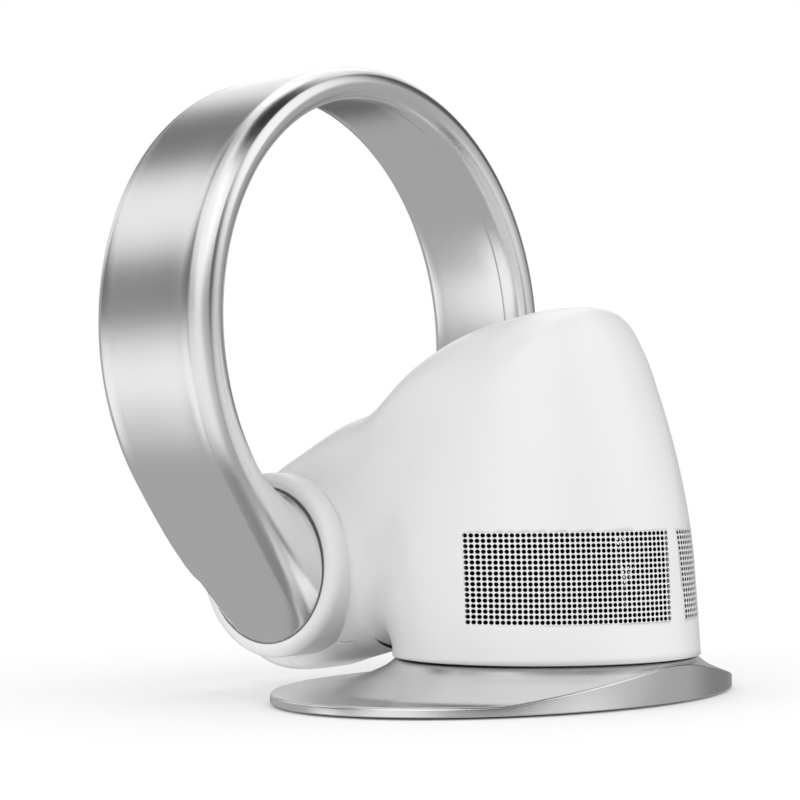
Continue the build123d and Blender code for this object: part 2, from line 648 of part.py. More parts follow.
def ring_diffuser():
    """The surface inside the ring that the air clings to, with ribs that hold the slot open."""
    angle = LIMB_ANGLE + FACE_GAP / 10
    inside = Spline(*[ring_point(y, r, angle) for y, r in DIFFUSER_CURVE])
    outside = Spline(*[ring_point(y, r + RING_WALL, angle) for y, r in DIFFUSER_CURVE])
    first, last = DIFFUSER_CURVE[0], DIFFUSER_CURVE[-1]
    ends = [Line(ring_point(y, r, angle), ring_point(y, r + RING_WALL, angle)) for y, r in (first, last)]
    diffuser = swept_round(make_face(inside + outside + ends), angle)
    lip_y, lip_r = RING_LIP
    half = SPACER_THICK / 2
    inner_r, outer_r = lip_r + RING_LIP_THICK, DIFFUSER_CURVE[2][1] + RING_WALL / 2
    rib = block(inner_r, outer_r, lip_y, lip_y + SPACER_LENGTH, -half, half)
    step = (180 - 2 * LIMB_ANGLE) / SPACER_COUNT
    for k in range(SPACER_COUNT):
        turn = LIMB_ANGLE + (k + 0.5) * step
        diffuser += Pos(0, 0, RING_CENTRE_Z) * Rot(0, -turn, 0) * rib
    return diffuser


def quadratic(points, t):
    """A point on a quadratic curve with three control points."""
    weights = ((1 - t) ** 2, 2 * t * (1 - t), t * t)
    return [sum(w * p[axis] for w, p in zip(weights, points)) for axis in (0, 1)]


def limb_wire(t, side, section, end_radius):
    """A section of the limb, which turns from the ring's profile into the foot's circle."""
    outer = quadratic(LIMB_OUTER, t)
    inner = quadratic(LIMB_INNER, t)
    turned_round = t * t * (2 - t)
    points = []
    for k, (y, across) in enumerate(section):
        angle = 2 * pi * k / len(section)
        round_y = TILT_Y - end_radius * cos(angle)
        round_across = sin(angle) * end_radius / FOOT_RADIUS
        y = y + (round_y - y) * turned_round
        across = across + (round_across - across) * turned_round
        x, z = [(a + b) / 2 + across * (a - b) / 2 for a, b in zip(outer, inner)]
        points.append((side * x, y, z))
    return closed_wire(points)


def limb(side):
    """A hollow limb from the ring down to the foot, with the rim that enters the collar."""
    outside = Solid.make_loft([limb_wire(t, side, LIMB_SECTION, FOOT_RADIUS) for t in LIMB_STEPS])
    hollow = Solid.make_loft([limb_wire(t, side, LIMB_HOLLOW, FOOT_HOLLOW_RADIUS) for t in LIMB_STEPS])
    rim_x = FOOT_FACE_X - FOOT_ENTRY
    rim = side_tube(RIM_RADIUS, TRUNNION_RADIUS, rim_x, FOOT_FACE_X + RIM_SINK, side)
    return outside - hollow + rim


# ---------------------------------------------------------------- air mover
def impeller_shroud():
    outer = SHROUD_RADIUS + SHROUD_WALL
    throat_z, mouth_z = BAFFLE_Z, BAFFLE_Z - BELL_DROP
    bell = [(SHROUD_RADIUS + out, mouth_z + up) for out, up in BELL_CURVE]
    return turned([(SHROUD_RADIUS, SHROUD_TOP), (outer, SHROUD_TOP), (outer, throat_z),
                   (BELL_RADIUS, throat_z), (BELL_RADIUS, mouth_z), (BELL_RADIUS - BELL_LIP, mouth_z),
                   *bell, (SHROUD_RADIUS, throat_z)])


def blade_section(z, inner, outer, turn):
    corners = [(inner, -BLADE_THICK / 2), (outer, -BLADE_THICK / 2), (outer, BLADE_THICK / 2),
               (inner, BLADE_THICK / 2)]
    flat = Polyline(*[(x, y, z) for x, y in corners], close=True)
    return Wire((Rot(0, 0, turn) * flat).edges())


def impeller():
    """A mixed-flow wheel: a coned hub with swept blades that end just inside the shroud."""
    low, high = IMPELLER_BOTTOM, IMPELLER_TOP
    hub = turned([(0, low), (HUB_SMALL_RADIUS, low), (HUB_LARGE_RADIUS, high), (0, high)])
    stations = ((low + BLADE_MARGIN, 0), ((low + high) / 2, BLADE_MIDDLE_TURN), (high - BLADE_MARGIN, 1))
    sections = [blade_section(z, BLADE_ROOT_RADIUS, SHROUD_RADIUS, IMPELLER_SWEEP * share)
                for z, share in stations]
    blade = Solid.make_loft(sections, ruled=True) & disc(IMPELLER_RADIUS, low, IMPELLER_HEIGHT)
    wheel = hub
    for k in range(IMPELLER_BLADES):
        wheel += Rot(0, 0, 360 * k / IMPELLER_BLADES) * blade
    return wheel - disc(SHAFT_RADIUS, low, IMPELLER_HEIGHT)


def motor_bucket():
    """The fixed cup round the motor, held in the shroud by guide vanes that straighten the air."""
    bucket = disc(BUCKET_RADIUS, BUCKET_BOTTOM, BUCKET_TOP - BUCKET_BOTTOM)
    root, tip = BUCKET_RADIUS - BUCKET_WALL / 2, SHROUD_RADIUS + SHROUD_WALL
    ends = [blade_section(VANE_BOTTOM, root, tip, 0), blade_section(VANE_TOP, root, tip, VANE_SWEEP)]
    vane = Solid.make_loft(ends, ruled=True) & disc(SHROUD_RADIUS, VANE_BOTTOM, VANE_TOP - VANE_BOTTOM)
    for k in range(GUIDE_VANES):
        bucket += Rot(0, 0, 360 * k / GUIDE_VANES) * vane
    bucket -= disc(BUCKET_RADIUS - BUCKET_WALL, MOTOR_BOTTOM, BUCKET_TOP)
    return bucket - disc(SHAFT_RADIUS + BUCKET_WALL, 0, BUCKET_TOP)


def bucket_cap():
    inside = [(max(r - BUCKET_WALL, 0), z - BUCKET_WALL * (r < BUCKET_RADIUS)) for r, z in CAP_CURVE]
    return turned(list(CAP_CURVE) + inside[::-1])


def motor():
    return tube(MOTOR_RADIUS, SHAFT_RADIUS + FIT_GAP, MOTOR_BOTTOM, MOTOR_HEIGHT)


def motor_band():
    return tube(BUCKET_RADIUS - BUCKET_WALL, MOTOR_RADIUS, MOTOR_BOTTOM, MOTOR_BAND_HEIGHT)


def motor_shaft():
    return disc(SHAFT_RADIUS, SHAFT_BOTTOM, SHAFT_TOP - SHAFT_BOTTOM)


def impeller_nut():
    nut = extrude(Pos(0, 0, IMPELLER_BOTTOM - NUT_THICK) * RegularPolygon(NUT_RADIUS, 6), NUT_THICK)
    return nut - disc(SHAFT_RADIUS, 0, IMPELLER_BOTTOM)


# ---------------------------------------------------------------- control board
def board_corners():
    along, across = BOARD_LENGTH / 2 - STANDOFF_INSET, BOARD_WIDTH / 2 - STANDOFF_INSET
    return [(BOARD_X + i * across, BOARD_Y + j * along) for i in (1, -1) for j in (1, -1)]


def control_board():
    z = TURNTABLE_TOP + STANDOFF_HEIGHT + BOARD_THICK / 2
    board = Box(BOARD_WIDTH, BOARD_LENGTH, BOARD_THICK)
    for radius, height, x, y in BOARD_CANS:
        board += disc(radius, 0, height, x, y)
    x0, x1, y0, y1, height = BOARD_CHIP
    board += block(x0, x1, y0, y1, 0, height)
    return Pos(BOARD_X, BOARD_Y, z) * board


# ---------------------------------------------------------------- export
def export(shape, node):
    export_step(shape, f"parts/{node}.step")


def main():
    outer = body_form(0)
    hollow = body_form(BODY_WALL)
    grille_back = body_form(GRILLE_THICK)
    baffle_room = body_form(BODY_WALL + BAFFLE_GAP)

    export(base_pad(), "base_pad")
    export(bottom_plate(), "bottom_plate")
    export(base_cover(), "base_cover")
    export(base_screws(), "base_screws")
    export(ballast_ring(), "ballast_ring")
    export(power_inlet(), "power_inlet")
    export(swivel_post(), "swivel_post")
    export(post_nut(), "post_nut")
    export(swivel_bearing(), "swivel_bearing")
    export(oscillation_motor(), "oscillation_motor")
    export(pinion_shaft(), "pinion_shaft")
    export(drive_pinion(), "drive_pinion")

    export(turntable(), "turntable")
    export(swivel_gear(), "swivel_gear")
    export(turntable_screws(), "turntable_screws")
    export(body_shell(outer, hollow), "body_shell")
    export(arm_bottom_cover(outer, hollow), "arm_bottom_cover")
    export(air_baffle(baffle_room), "air_baffle")
    export(control_board(), "control_board")
    export(impeller_shroud(), "impeller_shroud")
    export(motor_bucket(), "motor_bucket")
    export(bucket_cap(), "bucket_cap")
    export(motor(), "motor")
    export(motor_band(), "motor_band")
    export(motor_shaft(), "motor_shaft")
    export(impeller(), "impeller")
    export(impeller_nut(), "impeller_nut")

    export(ring_shell(), "ring_shell")
    export(ring_diffuser(), "ring_diffuser")
    for side, word in ((1, "right"), (-1, "left")):
        export(limb(side), f"{word}_limb")
        export(grille(side, outer, grille_back), f"{word}_grille")
        export(collar(side), f"{word}_collar")
        export(friction_washer(side), f"{word}_friction_washer")
        export(trunnion(side), f"{word}_trunnion")
        export(trunnion_nut(side), f"{word}_trunnion_nut")


main()
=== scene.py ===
"""Bladeless desk fan: the finished look of every piece, riding on the bodies of the CAD frame.

Outlines and places are in millimetres in the frame of the part, with the floor at z = 0 and the
front towards -Y. Each mesh is written in metres.
"""

import json

import bmesh
import bpy
import numpy as np
from mathutils import Matrix


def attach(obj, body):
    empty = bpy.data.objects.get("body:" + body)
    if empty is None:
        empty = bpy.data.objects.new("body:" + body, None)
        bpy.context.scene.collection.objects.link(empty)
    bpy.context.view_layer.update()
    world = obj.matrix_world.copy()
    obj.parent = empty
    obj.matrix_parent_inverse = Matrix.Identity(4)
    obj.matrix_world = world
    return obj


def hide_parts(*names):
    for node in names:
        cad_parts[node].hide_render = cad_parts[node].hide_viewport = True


bl_info = {
    "name": "Bladeless desk fan",
    "version": (1, 0, 0),
    "blender": (4, 5, 0),
    "location": "View3D > Sidebar > Fan",
    "description": "Builds the pieces, the materials and the stage of a bladeless desk fan",
    "category": "Object",
}

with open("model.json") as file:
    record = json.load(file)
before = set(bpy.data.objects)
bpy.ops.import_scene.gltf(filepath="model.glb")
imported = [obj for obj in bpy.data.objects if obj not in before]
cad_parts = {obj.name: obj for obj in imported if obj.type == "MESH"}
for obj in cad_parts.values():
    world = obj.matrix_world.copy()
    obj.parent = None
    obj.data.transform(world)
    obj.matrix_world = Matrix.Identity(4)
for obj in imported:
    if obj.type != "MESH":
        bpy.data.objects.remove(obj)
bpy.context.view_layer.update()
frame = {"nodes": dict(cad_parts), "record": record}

MM = 0.001

# ---------------------------------------------------------------- shared places
BODY_BOTTOM = 22.3
TILT_Y = -142.4
TILT_Z = 69.3

# ---------------------------------------------------------------- body
BODY_WALL = 2.6
# sections that fan up about a hinge line: lean in degrees, far reach, half width, squareness
HINGE_Y = -90.0
FAN_SECTIONS = (
    (0.0, 171.5, 81.5, 2.0),
    (10.0, 172.6, 81.0, 2.0),
    (22.0, 179.8, 79.6, 2.05),
    (34.0, 191.8, 77.2, 2.1),
    (44.0, 206.2, 74.2, 2.15),
    (50.0, 217.0, 71.5, 2.2),
    (54.0, 222.0, 69.3, 2.25),
    (58.5, 214.0, 66.2, 2.3),
    (65.0, 198.0, 61.6, 2.4),
    (72.0, 182.0, 58.2, 2.55),
    (80.0, 162.0, 55.6, 2.7),
    (90.0, 137.0, 54.0, 2.85),
)
HEEL_REACH = (8.5, 1.0)      # near reach of the first and of the upright section
# arm: y, underside and top above the body's bottom edge, half width, squareness
ARM_SECTIONS = (
    (-116.0, -4.5, 126.5, 53.5, 3.1),
    (-142.4, -11.0, 112.0, 54.0, 3.5),
)
NOSE_LENGTH = 56.0
NOSE_DROP = 0.4              # how steeply the middle line of the arm runs down into the nose
NOSE_TURNS = (12.0, 26.0, 40.0, 54.0, 66.0, 76.0, 84.0, 90.0)
NOSE_LENGTH_POWER = 6        # the nose closes in width as |length|^6 + |width|^3 = 1
NOSE_WIDTH_POWER = 3
SECTION_SAMPLES = 48         # points of a section that give its distance to the next one

# service cover under the arm: half width, front, rear, and the height its faces stay under
COVER_HALF_WIDTH = 38.0
COVER_FRONT_Y = -150.0
COVER_REAR_Y = -104.0
COVER_TOP = BODY_BOTTOM + 4

# ---------------------------------------------------------------- inlet grilles
# pull direction from +X, height, and reach across the pull as seen on each side
PULL_ANGLE = 47.5
GRILLE_LOW = 42.2
GRILLE_HIGH = 88.0
GRILLE_REACH = {1: (-54.0, 52.0), -1: (-60.5, 45.5)}
GRILLE_THICK = 2.0
HOLE_CORNERS = 12
HOLE_TURN = 15.0             # turn of a hole's first corner, in degrees
# past this lip a hole's walls and the grille's back are black, as painted shade inside the holes
HOLE_LIP = 0.15              # depth of the light edge of a hole
LIGHT_BANDS = 2              # rings of faces in the body's colour: the face and the lip

# search for a point of the wall: rounds, trial step, first angle, and the longest steps
SEARCH_ROUNDS = 14
SEARCH_TRIAL = 1e-3
SEARCH_START = 45.0
SEARCH_STEP_ALONG = 12.0
SEARCH_STEP_ROUND = 0.3
SEARCH_LOWEST = 0.2          # lowest place, as a share of the way to the second section

# ---------------------------------------------------------------- collars
COLLAR_CUT_X = 38.0
COLLAR_CUT_RADIUS = 49.5
COLLAR_RADIUS = 51.0
COLLAR_ROUND = 6.5
COLLAR_ROUND_POINTS = 12
COLLAR_FACE_X = 65.0
COLLAR_STEPS = 160
# recess and skirt as x and radius
COLLAR_OUTLINE = (
    (65.0, 43.4), (61.5, 43.4), (61.5, 38.05), (51.0, 38.05), (51.0, 49.0), (38.0, 49.0),
    (38.0, 51.0),
)

# ---------------------------------------------------------------- ring
# outline as y, radius from the ring's axis, and angle round the foot's circle
RING_CENTRE_Z = 201.0
RING_OUTER = 150.0
RING_INNER = 131.0
RING_OUTLINE = (
    (-185.3, 145.9, 0.0), (-185.0, 147.9, 6.0), (-183.9, 149.0, 12.0), (-180.0, 149.15, 20.0),
    (-165.0, 149.35, 48.0), (-142.0, 149.7, 90.0), (-125.0, 149.9, 117.0),
    (-117.4, 150.0, 131.0), (-116.3, 149.85, 133.5), (-114.5, 149.3, 138.0),
    (-111.0, 147.9, 147.0), (-107.5, 145.2, 157.0), (-105.3, 142.0, 167.0),
    (-104.6, 139.0, 178.0), (-105.3, 135.8, 190.0), (-107.5, 133.0, 203.0),
    (-110.8, 131.4, 216.0), (-114.5, 131.0, 227.0), (-118.0, 131.1, 235.0),
    (-121.0, 131.5, 240.0),
)
SLOT_OUTLINE = (
    (-121.4, 131.9, 240.5), (-121.1, 132.7, 240.8), (-113.0, 133.3, 241.1),
    (-111.0, 135.2, 241.4), (-113.0, 136.4, 241.7), (-121.3, 134.8, 242.2),
)
DIFFUSER_OUTLINE = (
    (-124.0, 134.75, 245.0), (-130.0, 135.0, 252.0), (-142.0, 136.2, 270.0),
    (-165.0, 139.4, 305.0), (-180.0, 142.0, 335.0), (-184.2, 143.0, 346.0),
    (-185.1, 144.2, 353.0),
)
OUTLINE_PIECES = 3           # pieces of each span of the outline
SLOT_MOUTH = (-121.4, 133.3)
SLOT_CLOSING = 0.25          # share of a limb over which the slot closes
LIMB_ANGLE = -35.0
LIMB_OUTER = ((122.9, 115.0), (78.0, 51.5), (65.3, 26.9))
LIMB_INNER = ((107.3, 125.9), (97.5, 112.0), (65.3, 111.7))
FOOT_RADIUS = 42.4
FOOT_FACE_X = 65.3
FOOT_SEAM = 1.0              # how far the foot's edge stands in front of the collar's recess
FOOT_EDGE = 0.2              # bevel of the foot's edge
RIM_RADIUS = 41.2
RIM_X = 62.0
TRUNNION_RADIUS = 38.0
RING_SHARP = 50.0            # angle in degrees past which the ring's edges are sharp

# ---------------------------------------------------------------- base
BASE_HALF_WIDTH = 147.5
BASE_HALF_DEPTH = 108.0
BASE_OFFSET_Y = -25.5
BASE_WALL = 2.2
COVER_BOTTOM = 1.2
HUB_HOLE_RADIUS = 58.0
FLARE_CURVE = (
    (79.5, 21.3), (84.5, 17.3), (92.0, 13.6), (104.0, 9.3), (118.0, 6.0), (124.0, 6.0),
    (170.0, 6.0),
)
HUB_CHAMFER = 0.5
RIM_CHAMFER = 0.5
FLARE_LOOPS = 40
FLARE_CROWDING = 1.15        # loops stand closer near the hub, where the flare bends most
BRIM_SHARE = 1.05            # width of the rounded edge, in edge radii
EDGE_LOOPS = 7
INNER_LOOPS = 16
SLOPE_STEP = 0.05

# ---------------------------------------------------------------- meshes
MERGE_DISTANCE = 0.002
SHARP_ANGLE = 40.0
CUT_MARGIN = 8.0             # how far beyond a window its planes cut the faces
CUT_EXACTNESS = 1e-7         # in metres

# ---------------------------------------------------------------- finishes
WHITE_FINISH = {"grain": 0.0008, "bump": 0.01, "coat": 0.1}
SILVER_FINISH = {"metallic": 1.0, "bump": 0.12}
HIDDEN_FINISHES = {
    "black_plastic": {"colour": (0.012, 0.012, 0.013), "roughness": 0.5},
    "rubber_pad": {"colour": (0.02, 0.02, 0.02), "roughness": 0.8, "bump": 0.1},
    "steel": {"colour": (0.55, 0.55, 0.56), "roughness": 0.35, "metallic": 1.0},
    "ballast_iron": {"colour": (0.10, 0.10, 0.10), "roughness": 0.6, "metallic": 0.6, "bump": 0.2},
    "acetal": {"colour": (0.78, 0.78, 0.72), "roughness": 0.4},
    "circuit_board": {"colour": (0.02, 0.16, 0.06), "roughness": 0.45},
}
ROUGHNESS_SPREAD = 0.16      # how much the grain changes the roughness in all
GRAIN_DETAIL = 2.0

# ---------------------------------------------------------------- camera and light
# camera, fitted to the photograph: place in millimetres, turn in degrees
CAMERA_PLACE = (919.9, 654.4, 109.3)
CAMERA_AZIMUTH = 129.29
CAMERA_TILT = -2.47
CAMERA_ROLL = -0.62
CAMERA_LENS = 95.0
CAMERA_SENSOR = 36.0
CAMERA_NEAR = 10.0

# what shines in the silver: azimuth and elevation, full and fading angle, and brightness
SHINE_GREY = 0.42
SOFT_LIGHTS = (
    ((106.0, 42.0), 18.0, 40.0, 0.64),
    ((-56.0, 56.0), 12.0, 28.0, 0.62),
    ((-52.0, 30.0), 6.0, 22.0, 0.50),
    ((-44.0, 12.0), 2.0, 14.0, 0.45),
    ((5.0, 76.0), 12.0, 30.0, 0.45),
    ((-154.0, 38.0), 14.0, 32.0, 0.64),
    ((-156.0, 6.0), 8.0, 26.0, 0.15),
    ((-172.0, -20.0), 10.0, 30.0, 0.32),
    ((28.0, 36.0), 4.0, 20.0, 0.55),
    ((0.0, 22.0), 4.0, 16.0, 0.45),
    ((100.0, -20.0), 14.0, 40.0, 0.50),
    ((48.0, -18.0), 7.0, 25.0, 0.60),
)
DARK_FLAGS = (
    ((-175.0, 78.0), 14.0, 25.0, 0.06),
    ((-98.0, 30.0), 10.0, 26.0, 0.22),
    ((60.0, 22.0), 6.0, 22.0, 0.50),
    ((28.0, 60.0), 4.0, 16.0, 0.35),
    ((-12.0, 44.0), 4.0, 16.0, 0.45),
    ((156.0, 18.0), 10.0, 24.0, 0.30),
    ((-42.0, -14.0), 2.0, 14.0, 0.30),
    ((-90.0, -6.0), 8.0, 26.0, 0.55),
    ((95.0, -64.0), 8.0, 24.0, 0.60),
    ((46.0, 13.0), 3.0, 15.0, 0.66),
    ((31.0, -23.0), 2.0, 9.0, 0.70),
    ((-49.0, 2.0), 2.0, 10.0, 0.42),
)
# even light on the mouldings, a little brighter from one side
FILL_TOWARDS = (150.0, 35.0)
FILL_SPREAD = 120.0
FILL_LOW = 0.94
FILL_HIGH = 1.14
KEY_PLACE = (1100.0, 900.0, 1500.0)
KEY_TARGET = (0.0, -40.0, 100.0)
KEY_SIZE = 1200.0
FLOOR_HALF_WIDTH = 6000.0
FLOOR_ROUGHNESS = 0.9
FLOOR_GLOW = 1.1
WHITE = (1.0, 1.0, 1.0)


# ---------------------------------------------------------------- adjustable sizes and colours
class FanBodySettings(bpy.types.PropertyGroup):
    """Sizes and colour of the swivelling body"""
    rows: bpy.props.IntProperty(
        name="Rows", description="Sections along the body and the arm",
        default=150, min=20, max=400)
    columns: bpy.props.IntProperty(
        name="Columns", description="Points round each section", default=192, min=24, max=400)
    colour: bpy.props.FloatVectorProperty(
        name="Plastic", description="Colour of the white mouldings", subtype="COLOR",
        default=(0.83, 0.83, 0.835), min=0.0, max=1.0)
    roughness: bpy.props.FloatProperty(
        name="Roughness", description="Roughness of the white mouldings", subtype="FACTOR",
        default=0.30, min=0.0, max=1.0)


class FanGrilleSettings(bpy.types.PropertyGroup):
    """Hole pattern of the two inlet grilles"""
    columns: bpy.props.IntProperty(
        name="Columns", description="Holes across each grille", default=40, min=4, max=80)
    rows: bpy.props.IntProperty(
        name="Rows", description="Holes up each grille", default=17, min=2, max=40)
    hole_share: bpy.props.FloatProperty(
        name="Hole share", description="Hole diameter as a share of the pitch", subtype="FACTOR",
        default=0.84, min=0.2, max=0.95)


class FanRingSettings(bpy.types.PropertyGroup):
    """Sizes and finish of the air ring"""
    arc_steps: bpy.props.IntProperty(
        name="Arc steps", description="Sections round the circle", default=220, min=24, max=600)
    limb_steps: bpy.props.IntProperty(
        name="Limb steps", description="Sections down each limb", default=48, min=6, max=120)
    colour: bpy.props.FloatVectorProperty(
        name="Silver", description="Colour of the silver coating", subtype="COLOR",
        default=(0.84, 0.84, 0.845), min=0.0, max=1.0)
    roughness: bpy.props.FloatProperty(
        name="Roughness", description="Roughness of the silver coating", subtype="FACTOR",
        default=0.17, min=0.0, max=1.0)
    grain: bpy.props.FloatProperty(
        name="Grain", description="Size of the grain in the silver coating", subtype="DISTANCE",
        unit="LENGTH", default=0.0005, min=0.0001, max=0.005)


class FanBaseSettings(bpy.types.PropertyGroup):
    """Sizes of the base cover"""
    segments: bpy.props.IntProperty(
        name="Segments", description="Steps round the base", default=256, min=24, max=720)
    edge_round: bpy.props.FloatProperty(
        name="Edge radius", description="Rounding of the cover's top edge", subtype="DISTANCE",
        unit="LENGTH", default=0.0016, min=0.0005, max=0.003)


class FanStageSettings(bpy.types.PropertyGroup):
    """Light and floor"""
    sky: bpy.props.FloatProperty(
        name="Surround", description="Brightness of the white surround",
        default=1.0, min=0.0, max=5.0)
    key_power: bpy.props.FloatProperty(
        name="Key light", description="Power of the large light", subtype="POWER", unit="POWER",
        default=0.8, min=0.0, max=500.0)


SETTINGS = {
    "fan_body": FanBodySettings,
    "fan_grille": FanGrilleSettings,
    "fan_ring": FanRingSettings,
    "fan_base": FanBaseSettings,
    "fan_stage": FanStageSettings,
}


# ---------------------------------------------------------------- curves
def cubic_span(t, length, start, end, slope_start, slope_end):
    """Cubic between two points with given slopes, at shares t of the span's length."""
    return ((2 * t ** 3 - 3 * t ** 2 + 1) * start + (t ** 3 - 2 * t ** 2 + t) * length * slope_start
            + (3 * t ** 2 - 2 * t ** 3) * end + (t ** 3 - t ** 2) * length * slope_end)


def curve_through(knots, values, x):
    """A smooth curve through its knots: cubic spans, each slope weighted from its neighbours."""
    knots = np.asarray(knots, float)
    values = np.asarray(values, float)
    flat = values.reshape(len(knots), -1)
    span = np.diff(knots)
    chord = np.diff(flat, axis=0) / span[:, None]
    slope = np.empty_like(flat)
    slope[0], slope[-1] = chord[0], chord[-1]
    weight = (span[1:] + span[:-1])[:, None]
    slope[1:-1] = (chord[:-1] * span[1:, None] + chord[1:] * span[:-1, None]) / weight
    x = np.clip(np.asarray(x, float), knots[0], knots[-1])
    k = np.clip(np.searchsorted(knots, x, side="right") - 1, 0, len(knots) - 2)
    length = span[k][..., None]
    t = (x - knots[k])[..., None] / length
    result = cubic_span(t, length, flat[k], flat[k + 1], slope[k], slope[k + 1])
    return result.reshape(x.shape + values.shape[1:])


def running_length(points):
    """Running length along a row of points."""
    steps = np.linalg.norm(np.diff(points, axis=0), axis=-1)
    return np.concatenate([[0.0], np.cumsum(steps)])


def resample(points, pieces):
    """A closed outline with each span cut into pieces along a smooth curve.

    The first two columns are the place, and the third is an angle that grows by 360 in one round.
    """
    points = np.asarray(points, float)
    period = np.array([0.0, 0.0, 360.0, 0.0])
    padded = np.concatenate([points[-2:] - period, points, points[:3] + period])
    knots = running_length(padded[:, :2])
    inner = knots[2:-2]
    shares = np.arange(pieces) / pieces
    places = (inner[:-1, None] + np.diff(inner)[:, None] * shares).ravel()
    return curve_through(knots, padded, places)


def quadratic(points, t):
    """Points of a curve with three control points: weights (1-t)^2, 2t(1-t) and t^2."""
    start, middle, end = [np.asarray(p, float) for p in points]
    t = np.asarray(t)[:, None]
    return (1 - t) ** 2 * start + 2 * t * (1 - t) * middle + t ** 2 * end


def ease(x):
    """Smooth step from 0 to 1: 3x^2 - 2x^3."""
    x = np.clip(x, 0, 1)
    return x * x * (3 - 2 * x)


# ---------------------------------------------------------------- meshes
def grid_faces(rows, columns, close_rows=False):
    """Quads of a grid of points, counted row by row; each row is a closed loop."""
    i = np.arange(rows if close_rows else rows - 1)
    i, j = np.meshgrid(i, np.arange(columns), indexing="ij")
    i2, j2 = (i + 1) % rows, (j + 1) % columns
    quads = [i * columns + j, i * columns + j2, i2 * columns + j2, i2 * columns + j]
    return np.stack(quads, -1).reshape(-1, 4)


def signed_volume(points, faces):
    """Six times the volume enclosed, positive when the faces point outwards."""
    corners = points[faces]
    first = np.einsum("ij,ij->i", corners[:, 0], np.cross(corners[:, 1], corners[:, 2]))
    second = np.einsum("ij,ij->i", corners[:, 0], np.cross(corners[:, 2], corners[:, 3]))
    return (first + second).sum()


def new_mesh(name, points, faces, turn_outwards=True):
    """A mesh in metres from points in millimetres and quads, turned to point outwards."""
    points = np.asarray(points, float).reshape(-1, 3)
    if turn_outwards and signed_volume(points, faces) < 0:
        faces = faces[:, ::-1]
    mesh = bpy.data.meshes.new(name)
    mesh.vertices.add(len(points))
    mesh.vertices.foreach_set("co", (points * MM).ravel())
    mesh.loops.add(faces.size)
    mesh.loops.foreach_set("vertex_index", faces.ravel().astype(np.int32))
    mesh.polygons.add(len(faces))
    mesh.polygons.foreach_set("loop_start", np.arange(0, faces.size, 4, dtype=np.int32))
    mesh.update(calc_edges=True)
    return mesh


def load_mesh(mesh):
    """A working copy of a mesh."""
    work = bmesh.new()
    work.from_mesh(mesh)
    return work


def tidy_mesh(mesh, sharp=SHARP_ANGLE):
    """Merges doubled points, drops empty faces, and shades smooth up to an angle."""
    work = load_mesh(mesh)
    bmesh.ops.remove_doubles(work, verts=work.verts, dist=MERGE_DISTANCE * MM)
    bmesh.ops.dissolve_degenerate(work, edges=work.edges, dist=MERGE_DISTANCE * MM / 4)
    work.to_mesh(mesh)
    work.free()
    mesh.polygons.foreach_set("use_smooth", np.ones(len(mesh.polygons), bool))
    mesh.set_sharp_from_angle(angle=np.radians(sharp))
    mesh.update()


def cut_along(mesh, planes, inside):
    """A working copy of a mesh, cut along planes (point, normal) near the window they bound."""
    work = load_mesh(mesh)
    for point, normal in planes:
        near = [f for f in work.faces if inside(f.calc_center_median() / MM, CUT_MARGIN)]
        edges = {e for f in near for e in f.edges}
        corners = {v for f in near for v in f.verts}
        bmesh.ops.bisect_plane(work, geom=near + list(edges) + list(corners), dist=CUT_EXACTNESS,
                               plane_co=[c * MM for c in point], plane_no=list(normal))
    return work


def keep_faces(work, mesh, wanted):
    """Writes a working copy back with only the faces whose middle passes a test."""
    doomed = [f for f in work.faces if not wanted(f.calc_center_median() / MM)]
    bmesh.ops.delete(work, geom=doomed, context="FACES")
    work.to_mesh(mesh)
    work.free()


def add_piece(mesh, slot, body, *nodes):
    """Puts a mesh in the scene with a slot's finish, riding on a body in place of CAD nodes."""
    piece = bpy.data.objects.new(mesh.name, mesh)
    bpy.context.scene.collection.objects.link(piece)
    mesh.materials.append(finish(slot))
    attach(piece, body)
    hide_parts(*nodes)
    return piece


# ---------------------------------------------------------------- body surface
def superellipse(v, squareness):
    """|cos v|^(2/n) and |sin v|^(2/n), with the signs kept."""
    c, s = np.cos(v), np.sin(v)
    power = 2 / squareness
    return np.sign(c) * np.abs(c) ** power, np.sign(s) * np.abs(s) ** power


def body_sections():
    """The body's sections: y of the hinge, lean, near and far reach, half width, squareness.

    The nose's sections shrink as the cosine of a turn, while they move forward as its sine.
    """
    rows = []
    for lean, far, half, squareness in FAN_SECTIONS:
        near = HEEL_REACH[0] + (HEEL_REACH[1] - HEEL_REACH[0]) * np.sin(np.radians(lean)) ** 2
        rows.append((HINGE_Y, lean, near, far, half, squareness))
    for y, under, top, half, squareness in ARM_SECTIONS:
        rows.append((y, 90.0, under, top, half, squareness))
    middle, half_height = (under + top) / 2, (top - under) / 2
    axis = TILT_Z - BODY_BOTTOM
    for degrees in NOSE_TURNS:
        turn = np.radians(degrees)
        shrink = max(np.cos(turn), 0.0)
        drop = NOSE_DROP * NOSE_LENGTH * np.sin(turn) * shrink ** 2
        centre = middle + (axis - middle) * (1 - shrink) - drop
        width = half * max(1 - np.sin(turn) ** NOSE_LENGTH_POWER, 0) ** (1 / NOSE_WIDTH_POWER)
        rows.append((y - NOSE_LENGTH * np.sin(turn), 90.0, centre - half_height * shrink,
                     centre + half_height * shrink, width, squareness))
    return np.array(rows)


def section_points(v):
    """Points of every section at loop angles v: a superellipse in a plane that leans back."""
    hinge, lean, near, far, half, squareness = body_sections().T[:, :, None]
    along, across = superellipse(np.asarray(v, float)[None, :], squareness)
    reach = (far + near) / 2 + along * (far - near) / 2
    lean = np.radians(lean)
    y, z = hinge + reach * np.cos(lean), BODY_BOTTOM + reach * np.sin(lean)
    return np.stack([across * half, y, z], -1)


